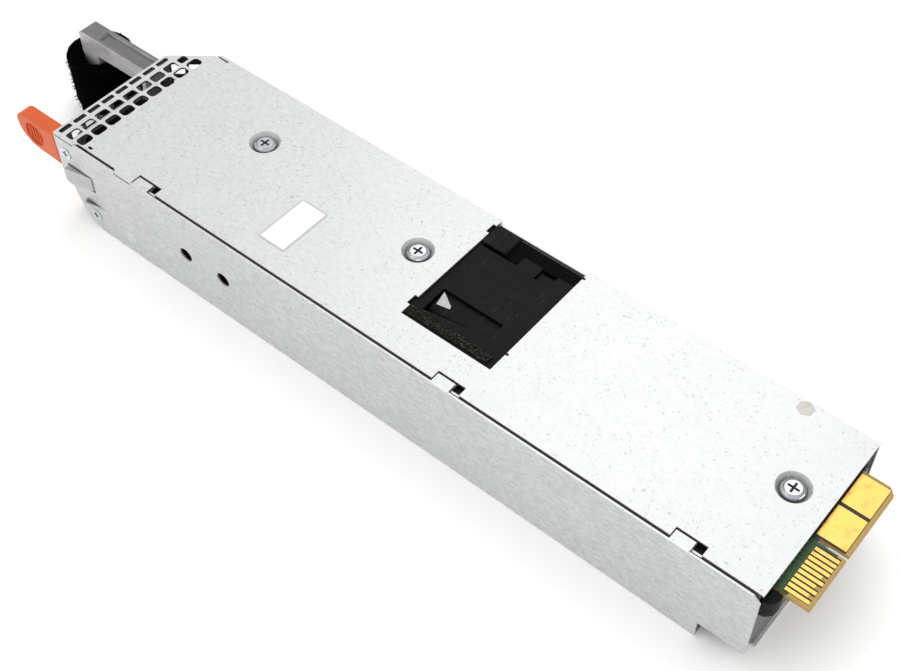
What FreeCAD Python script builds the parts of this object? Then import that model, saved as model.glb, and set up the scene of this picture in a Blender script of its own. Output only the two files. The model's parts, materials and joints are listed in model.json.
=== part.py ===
import FreeCAD, Part
import math
import os
import re

import Sketcher

# Hot swap server power supply, in millimetres.
# The origin is the centre of the case's bottom face. +Y runs from the handle end to the connector end,
# +X points to the near wall with the latch and +Z is up.

# Driving sizes. Every one becomes a named cell of the sheet.
SIZES = {
    "case_width": 66.0,
    "case_length": 288.0,
    "case_height": 39.5,
    "gauge": 0.8,
    "fit_gap": 0.3,
    "chamfer_wide": 13.2,
    "chamfer_long": 16.5,
    "wall_gap": 0.8,
    "wall_drop": 0.3,
    "flange_deep": 9.6,
    "lap_width": 1.4,
    "lap_front": 10.0,
    "lap_gap": 0.4,
    "hook_long": 6.8,
    "hook_reach": 4.4,
    "hook_front": 39.5,
    "hook_middle": 24.2,
    "hook_back": 30.3,
    "hook_slot": 10.6,
    "hook_lap": 8.4,
    "lip_drop": 1.3,
    "corner_cut_x": 4.5,
    "corner_cut_y": 15.0,
    "step_drop": 23.3,
    "notch_long": 16.0,
    "notch_high": 7.7,
    "rear_flange": 8.0,
    "rear_slot_high": 1.2,
    "side_hole": 2.8,
    "side_hole_one": 62.1,
    "side_hole_pitch": 17.8,
    "side_hole_high": 19.5,
    "bump_out": 2.2,
    "bump_long": 11.5,
    "bump_high": 3.2,
    "bump_front": 9.5,
    "bump_top": 13.4,
    "vent_one": 1.95,
    "vent_two": 6.6,
    "vent_three": 11.5,
    "vent_edge": 4.3,
    "vent_ends": 14.4,
    "vent_bar": 1.1,
    "window_back": 141.0,
    "window_long": 35.6,
    "window_reach": 51.0,
    "window_dip": 1.2,
    "screw_one_x": -10.1,
    "screw_one_y": 60.3,
    "screw_two_x": -5.3,
    "screw_two_front": 13.0,
    "screw_three_x": -3.8,
    "screw_three_back": 12.0,
    "dimple_top": 5.5,
    "dimple_floor": 4.6,
    "dimple_deep": 2.1,
    "screw_head": 3.8,
    "screw_head_high": 1.9,
    "screw_shank": 1.45,
    "board_hole": 1.7,
    "stud_side": 3.1,
    "stud_back": 23.6,
    "stud_half": 2.4,
    "label_x": 12.2,
    "label_y": 95.2,
    "label_wide": 21.4,
    "label_long": 11.6,
    "label_thick": 0.12,
    "sheet_film": 0.25,
    "board_thick": 1.6,
    "board_front": 32.0,
    "tab_end": 11.3,
    "power_far": -23.6,
    "power_near": 4.1,
    "signal_far": 5.7,
    "signal_near": 25.4,
    "tab_corner": 2.2,
    "key_front": 2.0,
    "pad_thick": 0.07,
    "pad_inner": 0.3,
    "pad_end": 9.8,
    "pad_far": -22.5,
    "pad_wide": 12.3,
    "pad_pitch": 13.6,
    "finger_first": 7.1,
    "finger_pitch": 1.77,
    "finger_wide": 1.15,
    "finger_inner": 2.4,
    "finger_end": 10.0,
    "finger_short": 1.3,
    "fan_room": 3.5,
    "fan_start": 4.0,
    "fan_deep": 28.0,
    "fan_rim": 1.0,
    "fan_x": -8.0,
    "fan_lift": 0.3,
    "fan_wall": 1.6,
    "fan_screw_hole": 1.8,
    "fan_screw_edge": 3.0,
    "tip_gap": 0.6,
    "hub_radius": 7.6,
    "hub_wall": 0.8,
    "hub_long": 20.0,
    "blade_long": 18.0,
    "shaft_radius": 1.0,
    "shaft_gap": 0.05,
    "bearing_radius": 3.0,
    "bearing_long": 2.5,
    "stator_radius": 6.2,
    "post_radius": 3.6,
    "cradle_plate": 1.3,
    "cradle_wall": 1.4,
    "cradle_inset": 0.4,
    "ledge_wide": 7.6,
    "ledge_front": 10.0,
    "ledge_deep": 0.8,
    "slot_front": 22.8,
    "slot_wide": 5.4,
    "slot_long": 6.1,
    "raised_high": 0.7,
    "pad_reach": 11.0,
    "pad_slot": 1.1,
    "foam_inset": 1.2,
    "foam_long": 33.0,
    "foam_wide": 3.4,
    "foam_thick": 0.6,
    "handle_near": -12.0,
    "handle_wide": 7.6,
    "handle_out": 40.0,
    "handle_top": 35.7,
    "arm_high": 8.4,
    "end_bar": 8.7,
    "low_arm": 3.2,
    "handle_low": 0.8,
    "foot_thick": 2.2,
    "foot_over": 2.6,
    "channel_wall": 1.1,
    "channel_start": 9.5,
    "channel_deep": 1.4,
    "strap_inner": 6.15,
    "strap_outer": 13.0,
    "strap_wide": 20.0,
    "lever_inset": 0.9,
    "lever_wide": 5.8,
    "lever_drop": 3.5,
    "lever_out": 20.4,
    "lever_high": 13.6,
    "lever_gap": 1.3,
    "tongue_wide": 2.4,
    "tongue_drop": 18.9,
    "tongue_high": 6.0,
    "leaf_thick": 0.5,
    "leaf_inset": 1.3,
    "hinge_y": 27.0,
    "leaf_front": 1.2,
    "catch_front": 4.6,
    "catch_long": 11.6,
    "catch_drop": 19.1,
    "catch_high": 6.4,
    "catch_out": 2.2,
    "catch_gap": 0.6,
    "inlet_x": 7.2,
    "inlet_z": 18.0,
    "inlet_wide": 27.6,
    "inlet_high": 20.0,
    "inlet_deep": 26.0,
    "inlet_rim": 1.7,
    "inlet_lip": 1.8,
    "socket_wide": 24.4,
    "socket_high": 16.4,
    "socket_deep": 17.0,
    "inlet_pin_wide": 4.0,
    "inlet_pin_thick": 2.0,
    "inlet_pin_long": 12.4,
    "inlet_pin_side": 7.0,
    "inlet_pin_shift": 2.0,
    "panel_vent": 5.0,
    "panel_pitch": 6.45,
    "tongue_hole_gap": 0.6,
    "side_screw_head": 2.6,
    "side_head_high": 0.35,
    "side_screw_shank": 1.4,
    "side_screw_long": 4.0,
    "cover_screw_y": 4.7,
    "cover_screw_drop": 7.3,
    "panel_screw_y": 13.4,
    "panel_screw_z": 7.3,
    "foot_rivet_y": 31.6,
    "foot_rivet_z": 6.9,
    "panel_flange": 18.0,
    "lamp_x": 26.3,
    "lamp_z": 8.0,
    "lamp_radius": 1.5,
    "socket_corner": 4.0,
    "grip_deep": 0.9,
    "rivet_back": 7.5,
    "rivet_radius": 0.7,
    "rivet_head": 0.25,
    "hinge_gap": 0.3,
    "foot_low": 3.6,
    "foot_long": 10.7,
    "handle_round": 2.2,
    "handle_screw_top": 29.2,
    "handle_screw_low": 10.0,
    "strap_thick": 1.3,
    "via_radius": 0.55,
    "via_pitch": 1.83,
    "rear_open": 13.0,
    "spacer_radius": 3.2,
    "spacer_long": 8.0,
    "lead_radius": 0.45,
    "choke_x": 13.5,
    "choke_one": 68.0,
    "choke_two": 98.0,
    "choke_radius": 12.6,
    "choke_inner": 7.2,
    "choke_high": 11.0,
    "winding_thick": 1.3,
    "winding_gap": 0.05,
    "film_cap_x": -20.5,
    "film_cap_front": 34.0,
    "film_cap_wide": 18.0,
    "film_cap_long": 9.0,
    "film_cap_high": 15.5,
    "film_cap_pitch": 13.0,
    "fuse_x": 3.5,
    "fuse_front": 37.0,
    "fuse_radius": 3.0,
    "fuse_long": 19.0,
    "varistor_x": 20.0,
    "varistor_front": 40.0,
    "varistor_radius": 7.0,
    "varistor_thick": 4.2,
    "sink_x": -17.0,
    "sink_front": 64.0,
    "sink_end": 9.0,
    "sink_thick": 2.4,
    "sink_fin": 8.0,
    "sink_fin_thick": 1.2,
    "sink_fin_pitch": 4.9,
    "sink_high": 28.0,
    "package_gap": 2.0,
    "package_start": 1.0,
    "package_end": 1.5,
    "package_high": 20.0,
    "package_thick": 4.8,
    "bridge_wide": 19.0,
    "bridge_thick": 4.0,
    "bay_gap": 4.4,
    "boost_side": 16.5,
    "boost_radius": 12.5,
    "boost_inner": 6.4,
    "boost_high": 13.0,
    "bulk_side": 18.2,
    "bulk_radius": 14.6,
    "bulk_long": 42.0,
    "core_x": 13.2,
    "core_back": 72.0,
    "core_wide": 26.0,
    "core_long": 22.0,
    "core_high": 22.0,
    "core_leg": 4.0,
    "bobbin_radius": 8.6,
    "out_sink_side": 6.5,
    "out_sink_back": 55.0,
    "out_sink_long": 34.0,
    "out_sink_fin": 3.5,
    "out_package_pitch": 11.2,
    "out_package_gap": 1.2,
    "out_choke_x": -12.0,
    "out_choke_back": 54.0,
    "out_choke_wide": 15.0,
    "out_choke_long": 20.0,
    "out_choke_high": 13.0,
    "out_cap_radius": 4.0,
    "out_cap_high": 12.0,
    "out_cap_x": -4.0,
    "out_cap_pitch": 10.0,
    "out_cap_row": 24.5,
    "out_cap_single": 20.0,
    "out_cap_last": 12.0,
    "card_side": 4.0,
    "card_back": 74.0,
    "card_long": 42.0,
    "card_high": 26.0,
    "card_thick": 1.2,
    "chip_wide": 8.0,
    "chip_thick": 1.4,
    "chip_pitch": 12.0,
    "guide_long": 18.0,
    "guide_out": 3.5,
    "guide_wide": 5.4,
    "guide_high": 7.4,
    "wire_radius": 1.0,
}

doc = FreeCAD.newDocument("power_supply")
sheet = doc.addObject("Spreadsheet::Sheet", "Sizes")
for row, (size_name, size_value) in enumerate(SIZES.items(), start=1):
    sheet.set(f"A{row}", str(size_value))
    sheet.setAlias(f"A{row}", size_name)
doc.recompute()

# Finished pieces, in the order in which they are made.
PIECES = []

# Places that several pieces share, as expressions of the driving sizes.
NEAR = "case_width / 2"
FAR = "(-case_width / 2)"
FRONT = "(-case_length / 2)"
REAR = "case_length / 2"
ROOF = "(case_height - gauge)"
WALL_TOP = "(case_height - wall_drop)"
COVER_NEAR = f"({NEAR} - gauge - wall_gap)"
DIMPLE_LOW = "(case_height - dimple_deep - gauge)"
BOARD_TOP = f"({DIMPLE_LOW} - sheet_film)"
BOARD_LOW = f"({BOARD_TOP} - board_thick)"
BOARD_NEAR = f"({COVER_NEAR} - gauge - fit_gap)"
BOARD_FAR = f"({FAR} + 2 * gauge + fit_gap + 0.1)"
WINDOW_NEAR = f"({FAR} + window_reach)"
WINDOW_FRONT = f"({REAR} - window_back)"
WINDOW_REAR = f"({WINDOW_FRONT} + window_long)"
FAN_SIDE = "(case_height - fan_room)"
FAN_BORE = f"({FAN_SIDE} / 2 - fan_rim)"
ROTOR_RADIUS = f"({FAN_BORE} - tip_gap)"
FAN_FRONT = f"({WINDOW_FRONT} + fan_start)"
FAN_REAR = f"({FAN_FRONT} + fan_deep)"
FAN_LOW = "(gauge + fan_lift)"
FAN_Z = f"({FAN_LOW} + {FAN_SIDE} / 2)"
PANEL_OUT = f"({FRONT} - gauge)"
FOOT_OUT = f"({PANEL_OUT} - foot_thick)"
HANDLE_OUT = f"({FRONT} - handle_out)"
HANDLE_FAR = "(handle_near - handle_wide)"
HINGE_Y = f"({FRONT} + hinge_y)"
FRONT_STEP = "(case_height - step_drop)"
LEVER_NEAR = f"({NEAR} - lever_inset)"
LEVER_TOP = "(case_height - lever_drop)"
LEAF_OUT = f"({NEAR} - leaf_inset)"
TONGUE_LOW = "(case_height - tongue_drop)"
CATCH_LOW = "(case_height - catch_drop)"
VENT_PITCH = "((case_width - vent_ends) / 8)"
SINK_LONG = f"({WINDOW_FRONT} - {FRONT} - sink_front - sink_end)"
PACKAGE_PITCH = f"(({SINK_LONG} - package_start - package_end - bridge_wide) / 3)"
SCREWS = (
    ("screw_one_x", f"({FRONT} + screw_one_y)"),
    ("screw_two_x", f"({WINDOW_FRONT} - screw_two_front)"),
    ("screw_three_x", f"({REAR} - screw_three_back)"),
)
SIDE_SCREWS = (
    (f"({FRONT} + cover_screw_y)", "(case_height - cover_screw_drop)"),
    (f"({FRONT} + panel_screw_y)", "panel_screw_z"),
)
FOOT_RIVET = (f"({FRONT} + foot_rivet_y)", "foot_rivet_z")
FAR_STUD = (f"({FAR} + stud_side)", f"({REAR} - stud_back)")
HOOKS = (f"({FRONT} + hook_front)", f"({WINDOW_FRONT} + hook_middle)", f"({REAR} - hook_back)")


def link(text):
    """Point each size name of an expression at the sheet."""
    def point(word):
        return f"Sizes.{word.group()}" if word.group() in SIZES else word.group()
    return re.sub(r"[a-z][a-z_]*", point, text)


def bind(item, links):
    """Bind properties of an object to expressions."""
    for target, text in links.items():
        item.setExpression(target, link(text))


def place(item, at):
    """Bind an object's position."""
    for axis, text in zip("xyz", at):
        item.setExpression(f".Placement.Base.{axis}", link(text))
    return item


def size_of(text):
    """Work out an expression of the sheet's sizes."""
    return float(sheet.evalExpression(link(text)))


def box(at, size):
    """A box from its low corner and its three sizes."""
    item = doc.addObject("Part::Box", "Block")
    bind(item, {"Length": size[0], "Width": size[1], "Height": size[2]})
    return place(item, at)


def rod(at, radius, length, along="z"):
    """A cylinder from the centre of its first end."""
    item = doc.addObject("Part::Cylinder", "Rod")
    bind(item, {"Radius": radius, "Height": length})
    turn_to(item, along)
    return place(item, at)


def turn_to(item, along):
    """Turn an object that stands along Z."""
    if along == "x":
        item.Placement.Rotation = FreeCAD.Rotation(FreeCAD.Vector(0, 1, 0), 90)
    if along == "y":
        item.Placement.Rotation = FreeCAD.Rotation(FreeCAD.Vector(1, 0, 0), -90)


def cone(at, low, high, length, along="z"):
    """A cone from the centre of its first end."""
    item = doc.addObject("Part::Cone", "Cone")
    bind(item, {"Radius1": low, "Radius2": high, "Height": length})
    turn_to(item, along)
    return place(item, at)


def prism(at, across, length, sides=6, along="z"):
    """A regular prism from the centre of its first end, with its corner radius."""
    item = doc.addObject("Part::Prism", "Prism")
    item.Polygon = sides
    bind(item, {"Circumradius": across, "Height": length})
    turn_to(item, along)
    return place(item, at)


def join(*items):
    """One solid of several that touch."""
    result = doc.addObject("Part::MultiFuse", "Joined")
    result.Shapes = list(items)
    result.Refine = True
    return result


def group(*items):
    """Separate solids in one piece."""
    result = doc.addObject("Part::Compound", "Group")
    result.Links = list(items)
    return result


def cut(base, *tools):
    """A solid less one or more others."""
    result = doc.addObject("Part::Cut", "CutOut")
    result.Base = base
    result.Tool = tools[0] if len(tools) == 1 else group(*tools)
    result.Refine = True
    return result


def finish(item, label):
    """Name a piece. Its label names its file."""
    item.Label = label
    PIECES.append(item)
    return item


class Form:
    """A PartDesign body whose sketches are bound to the sheet."""

    def __init__(self, name):
        self.body = doc.addObject("PartDesign::Body", name)

    def plane(self, role):
        """Find one of the body's own origin planes."""
        return next(item for item in self.body.Origin.OriginFeatures if item.Role == role)

    def sketch(self, role="XY_Plane", offset="0"):
        """Start a sketch parallel to an origin plane."""
        sketch = self.body.newObject("Sketcher::SketchObject", "Outline")
        sketch.AttachmentSupport = [(self.plane(role), "")]
        sketch.MapMode = "FlatFace"
        sketch.setExpression(".AttachmentOffset.Base.z", link(offset))
        return sketch

    def feature(self, kind, sketch, length, reverse=False):
        """Pad or pocket a sketch."""
        item = self.body.newObject(f"PartDesign::{kind}", kind)
        item.Profile = sketch
        item.setExpression("Length", link(length))
        item.Reversed = reverse
        sketch.Visibility = False
        return item

    def pad(self, points, length, role="XY_Plane", offset="0", reverse=False):
        """Pad a closed outline of straight edges."""
        sketch = self.sketch(role, offset)
        polygon(sketch, points)
        return self.feature("Pad", sketch, length, reverse)

    def pocket(self, points, length, role="XY_Plane", offset="0", reverse=False):
        """Cut a closed outline of straight edges."""
        sketch = self.sketch(role, offset)
        polygon(sketch, points)
        return self.feature("Pocket", sketch, length, reverse)

    def row(self, feature, role, count, pitch):
        """Repeat a feature along one of the origin axes."""
        pattern = self.body.newObject("PartDesign::LinearPattern", "Row")
        pattern.Originals = [feature]
        axis = next(item for item in self.body.Origin.OriginFeatures if item.Role == role)
        pattern.Direction = (axis, [""])
        pattern.Occurrences = count
        pattern.setExpression("Length", link(f"{count - 1} * {pitch}"))
        pattern.Reversed = True
        self.body.Tip = pattern
        return pattern

    def round_edges(self, wanted, radius):
        """Fillet the edges that a test picks."""
        doc.recompute()
        base = self.body.Tip
        names = [f"Edge{i}" for i, edge in enumerate(base.Shape.Edges, start=1) if wanted(edge)]
        fillet = self.body.newObject("PartDesign::Fillet", "Fillet")
        fillet.Base = (base, names)
        fillet.setExpression("Radius", link(radius))
        return fillet


def hold(sketch, kind, geometry, point, text):
    """Bind one coordinate of a sketch point to an expression."""
    index = sketch.addConstraint(Sketcher.Constraint(kind, -1, 1, geometry, point, size_of(text)))
    sketch.setExpression(f"Constraints[{index}]", link(text))


def polygon(sketch, points):
    """A closed outline whose corners are each held by two bound distances."""
    count = len(points)
    first = sketch.GeometryCount
    spots = [FreeCAD.Vector(size_of(across), size_of(up), 0) for across, up in points]
    for i in range(count):
        sketch.addGeometry(Part.LineSegment(spots[i], spots[(i + 1) % count]))
    for i in range(count):
        sketch.addConstraint(Sketcher.Constraint("Coincident", first + i, 2, first + (i + 1) % count, 1))
    for i, (across, up) in enumerate(points):
        hold(sketch, "DistanceX", first + i, 1, across)
        hold(sketch, "DistanceY", first + i, 1, up)


def circle(sketch, across, up, radius):
    """A circle with a bound centre and radius."""
    centre = FreeCAD.Vector(size_of(across), size_of(up), 0)
    index = sketch.addGeometry(Part.Circle(centre, FreeCAD.Vector(0, 0, 1), size_of(radius)))
    hold(sketch, "DistanceX", index, 3, across)
    hold(sketch, "DistanceY", index, 3, up)
    radius_index = sketch.addConstraint(Sketcher.Constraint("Radius", index, size_of(radius)))
    sketch.setExpression(f"Constraints[{radius_index}]", link(radius))


def soft_box(sketch, low, high, radius):
    """A rectangle with round corners, held by its four sides and one radius."""
    first = sketch.GeometryCount
    left, right = size_of(low[0]), size_of(high[0])
    bottom, top = size_of(low[1]), size_of(high[1])
    start = size_of(radius)
    sides = [
        ((left + start, bottom), (right - start, bottom)), ((right, bottom + start), (right, top - start)),
        ((right - start, top), (left + start, top)), ((left, top - start), (left, bottom + start)),
    ]
    for one, two in sides:
        sketch.addGeometry(Part.LineSegment(FreeCAD.Vector(*one, 0), FreeCAD.Vector(*two, 0)))
    centres = [
        (left + start, bottom + start), (right - start, bottom + start),
        (right - start, top - start), (left + start, top - start),
    ]
    for i, centre in enumerate(centres):
        circle_round = Part.Circle(FreeCAD.Vector(*centre, 0), FreeCAD.Vector(0, 0, 1), start)
        sketch.addGeometry(Part.ArcOfCircle(circle_round, math.pi * (1 + i / 2), math.pi * (1.5 + i / 2)))
    for i in range(4):
        arc = first + 4 + i
        sketch.addConstraint(Sketcher.Constraint("Tangent", first + (i + 3) % 4, 2, arc, 1))
        sketch.addConstraint(Sketcher.Constraint("Tangent", arc, 2, first + i, 1))
        sketch.addConstraint(Sketcher.Constraint("Horizontal" if i % 2 == 0 else "Vertical", first + i))
    for i in range(1, 4):
        sketch.addConstraint(Sketcher.Constraint("Equal", first + 4, first + 4 + i))
    index = sketch.addConstraint(Sketcher.Constraint("Radius", first + 4, start))
    sketch.setExpression(f"Constraints[{index}]", link(radius))
    hold(sketch, "DistanceY", first, 1, low[1])
    hold(sketch, "DistanceX", first + 1, 1, high[0])
    hold(sketch, "DistanceY", first + 2, 1, high[1])
    hold(sketch, "DistanceX", first + 3, 1, low[0])


def between(low, high):
    """The four corners of a rectangle."""
    return [(low[0], low[1]), (high[0], low[1]), (high[0], high[1]), (low[0], high[1])]


def bump_shell():
    """Outer form of a lanced bump: open at its top, fading into the wall at its bottom and rear."""
    front = size_of("bump_front") - size_of("case_length") / 2
    wall = size_of("case_width") / 2
    top, high = size_of("bump_top"), size_of("bump_high")
    out, long = size_of("bump_out"), size_of("bump_long")
    points_top = [(wall, front), (wall + out, front + 0.12 * long), (wall, front + long)]
    points_low = [(wall, front + 0.2 * long), (wall + 0.1, front + 0.3 * long), (wall, front + 0.6 * long)]
    wires = []
    for points, level in ((points_low, top - high), (points_top, top)):
        corners = [FreeCAD.Vector(x, y, level) for x, y in points]
        wires.append(Part.makePolygon(corners + corners[:1]))
    return Part.makeLoft(wires, True, True)


def case_outline(inset="0"):
    """Plan of the case with its far front corner cut off."""
    return [
        (f"{NEAR} - corner_cut_x - {inset}", FRONT),
        (f"{NEAR} - {inset}", f"{FRONT} + corner_cut_y"),
        (f"{NEAR} - {inset}", f"{REAR} - {inset}"),
        (f"{FAR} + {inset}", f"{REAR} - {inset}"),
        (f"{FAR} + {inset}", f"{FRONT} + chamfer_long"),
        (f"{FAR} + chamfer_wide", FRONT),
    ]


def make_tray():
    """Folded tray: bottom, two walls, pierced rear end, three hooks and a lanced bump."""
    form = Form("Tray")
    form.pad(case_outline(), "gauge")
    form.pad([
        (FRONT, WALL_TOP),
        (FRONT, FRONT_STEP),
        (f"{FRONT} + 0.25 * corner_cut_y", f"{FRONT_STEP} - 0.5 * gauge"),
        (f"{FRONT} + 0.42 * corner_cut_y", f"0.5 * {FRONT_STEP}"),
        (f"{FRONT} + 0.6 * corner_cut_y", f"0.15 * {FRONT_STEP}"),
        (f"{FRONT} + corner_cut_y", "0"),
        (f"{REAR} - notch_long", "0"),
        (f"{REAR} - notch_long", "notch_high"),
        (REAR, "notch_high"),
        (REAR, f"{WALL_TOP} - 3 * gauge"),
        (f"{REAR} - 3 * gauge", WALL_TOP),
    ], "gauge", "YZ_Plane", f"{NEAR} - gauge")
    form.pad(between((f"{FRONT} + chamfer_long", "0"), (REAR, f"{ROOF} - 0.1")), "gauge", "YZ_Plane", FAR)
    rear_top = "(case_height - rear_open)"
    form.pad([
        (FAR, "0"),
        (f"{NEAR} - rear_flange", "0"),
        (f"{NEAR} - rear_flange", "notch_high"),
        (NEAR, "notch_high"),
        (NEAR, f"{WALL_TOP} - 3 * gauge"),
        (f"{NEAR} - gauge", f"{WALL_TOP} - 3 * gauge"),
        (f"{NEAR} - gauge", rear_top),
        (FAR, rear_top),
    ], "gauge", "XZ_Plane", f"-({REAR} - gauge)")
    for hook in HOOKS:
        form.pad(between((f"{NEAR} - hook_reach", hook), (NEAR, f"{hook} + hook_long")),
                 "gauge", offset=f"{WALL_TOP} - gauge")
    form.pocket(between((f"{NEAR} - rear_flange", f"{REAR} - notch_long"), (f"{NEAR} + 1", f"{REAR} + 1")),
                "gauge", offset="gauge")
    for start, end in (("0", "lap_front"), ("hook_front - hook_lap", "hook_front - fit_gap")):
        form.pocket(between((f"{NEAR} - gauge", f"{FRONT} + {start}"), (NEAR, f"{FRONT} + {end}")),
                    f"{WALL_TOP} - {ROOF} + lap_gap", offset=WALL_TOP)
    form.pocket(
        between((WINDOW_FRONT, f"{ROOF} - window_dip"), (WINDOW_REAR, "case_height")), "gauge", "YZ_Plane",
        f"{FAR} + gauge")
    form.pocket(between(
        (f"{FRONT} + catch_front - catch_gap", f"{CATCH_LOW} - catch_gap"),
        (f"{FRONT} + catch_front + catch_long + catch_gap", f"{CATCH_LOW} + catch_high + catch_gap")),
        "gauge", "YZ_Plane", NEAR)
    holes = form.sketch("YZ_Plane", NEAR)
    circle(holes, f"{FRONT} + side_hole_one", "side_hole_high", "side_hole")
    circle(holes, f"{FRONT} + side_hole_one + side_hole_pitch", "side_hole_high", "side_hole")
    for y, z in SIDE_SCREWS + (FOOT_RIVET,):
        circle(holes, y, z, "side_screw_shank")
    form.feature("Pocket", holes, "gauge")
    form.pocket(between((f"{NEAR} - rear_flange + gauge", "notch_high + 1.2"),
                        (f"{NEAR} - gauge", "notch_high + 1.2 + rear_slot_high")),
                "gauge", "XZ_Plane", f"-({REAR} - gauge)")
    vent = form.sketch("XZ_Plane", f"-({REAR} - gauge)")
    for level in range(3):
        low = f"(4.5 + {level} * panel_pitch)"
        soft_box(
            vent, (f"{FAR} + 4.5", low), (f"{FAR} + 4.5 + panel_vent", f"{low} + panel_vent"),
            "0.3 * panel_vent")
    vents = form.feature("Pocket", vent, "gauge")
    form.row(vents, "X_Axis", 8, "panel_pitch").Reversed = False
    bump = bump_shell()
    outer = doc.addObject("Part::Feature", "BumpOuter")
    outer.Shape = bump
    inner = doc.addObject("Part::Feature", "BumpInner")
    inner.Shape = bump
    inner.Placement.Base.x = -size_of("gauge")
    finish(cut(join(form.body, outer), inner), "base_tray")


def make_cover():
    """Cover with vents, window, screw dimples, hook notches and bent down sides."""
    form = Form("Cover")
    lap = f"({COVER_NEAR} + lap_width)"
    notch = f"({NEAR} - hook_reach - 2 * fit_gap)"
    points = [
        (lap, FRONT), (lap, f"{FRONT} + lap_front"), (COVER_NEAR, f"{FRONT} + lap_front + lap_width"),
        (COVER_NEAR, f"{HOOKS[0]} - hook_lap - 1.1"), (lap, f"{HOOKS[0]} - hook_lap + 0.4"),
    ]
    for hook in HOOKS:
        start = f"{hook} - fit_gap"
        entry = lap if hook == HOOKS[0] else COVER_NEAR
        points += [
            (entry, start), (notch, start), (notch, f"{start} + hook_slot"),
            (COVER_NEAR, f"{start} + hook_slot")]
    points += [
        (COVER_NEAR, REAR), (FAR, REAR), (FAR, f"{FRONT} + chamfer_long"), (f"{FAR} + chamfer_wide", FRONT),
    ]
    form.pad(points, "gauge", offset=ROOF)
    inside = f"({FRONT} + fit_gap)"
    form.pad(between((inside, f"{ROOF} - flange_deep"), (f"{REAR} - gauge - fit_gap", ROOF)),
             "gauge", "YZ_Plane", f"{COVER_NEAR} - gauge")
    form.pad(between((f"{FRONT} + chamfer_long + panel_flange", f"{ROOF} - flange_deep"),
                     (f"{REAR} - gauge - fit_gap", ROOF)),
             "gauge", "YZ_Plane", f"{FAR} + gauge + 0.1")
    lip_top = "(case_height - lip_drop)"
    for hook in HOOKS:
        start = f"{hook} - fit_gap"
        slot = between((notch, start), (f"{COVER_NEAR} + gauge", f"{start} + hook_slot"))
        form.pocket(slot, f"{ROOF} - {lip_top}", offset=ROOF)
        lip = between((notch, start), (COVER_NEAR, f"{hook} + hook_long"))
        form.pad(lip, "gauge", offset=f"{lip_top} - gauge")
    form.pocket(
        between((f"{FAR} - 1", WINDOW_FRONT), (WINDOW_NEAR, WINDOW_REAR)), "gauge + 2.4",
        offset="case_height")
    cuts = form.sketch(offset="case_height")
    for start in ("3.2", "42.7"):
        edge = f"({WINDOW_FRONT} - 1.3)"
        polygon(cuts, between((f"{FAR} + {start}", edge), (f"{FAR} + {start} + 4", f"{WINDOW_FRONT} + 0.1")))
        notch_x = f"({FAR} + {start})"
        polygon(
            cuts, between((notch_x, f"{WINDOW_REAR} - 0.1"), (f"{notch_x} + 0.9", f"{WINDOW_REAR} + 0.9")))
    polygon(cuts, between((f"{FAR} + 1.1", f"{FRONT} + 14"), (f"{FAR} + 1.8", f"{FRONT} + 20.7")))
    soft_box(cuts, (f"{NEAR} - 3.6", f"{FRONT} + 15.2"), (f"{NEAR} - 2.6", f"{FRONT} + 17.2"), "0.4")
    form.feature("Pocket", cuts, "gauge")
    wide = f"({VENT_PITCH} - vent_bar)"
    rows = (
        ("vent_one", f"{wide} - 0.2", "1.9", "0.6", "0", 8),
        ("vent_two", wide, "3.8", "1", "0", 8),
        ("vent_three", wide, "4.1", "1.4", "0.4", 9),
    )
    for row_place, wide, long, corner, shift, count in rows:
        sketch = form.sketch(offset="case_height")
        centre = f"({NEAR} - vent_edge - {shift})"
        middle = f"({FRONT} + {row_place})"
        soft_box(sketch, (f"{centre} - ({wide}) / 2", f"{middle} - {long} / 2"),
                 (f"{centre} + ({wide}) / 2", f"{middle} + {long} / 2"), corner)
        slot = form.feature("Pocket", sketch, "gauge")
        form.row(slot, "X_Axis", count, VENT_PITCH)
    last = form.sketch(offset="case_height")
    centre = f"({NEAR} - vent_edge - 8 * {VENT_PITCH} + 0.7)"
    soft_box(
        last, (f"{centre} - 1.8", f"{FRONT} + vent_two - 1.5"),
        (f"{centre} + 1.8", f"{FRONT} + vent_two + 1.6"), "0.8")
    form.feature("Pocket", last, "gauge")
    hole = form.sketch("YZ_Plane", COVER_NEAR)
    circle(hole, *SIDE_SCREWS[0], "side_screw_shank")
    form.feature("Pocket", hole, "gauge")
    solids = [form.body]
    tools = []
    for x, y in SCREWS:
        solids.append(cone((x, y, DIMPLE_LOW), "dimple_floor", "dimple_top + 0.4", f"{ROOF} - {DIMPLE_LOW}"))
        tools.append(cone((x, y, f"{DIMPLE_LOW} + gauge"), "dimple_floor - 0.4", "dimple_top", "dimple_deep"))
        tools.append(rod((x, y, f"{DIMPLE_LOW} - 1"), "screw_shank", "gauge + 2"))
    tools.append(prism((FAR_STUD[0], FAR_STUD[1], ROOF), "stud_half / cos(30)", "gauge"))
    finish(cut(join(*solids), *tools), "top_cover")


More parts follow.
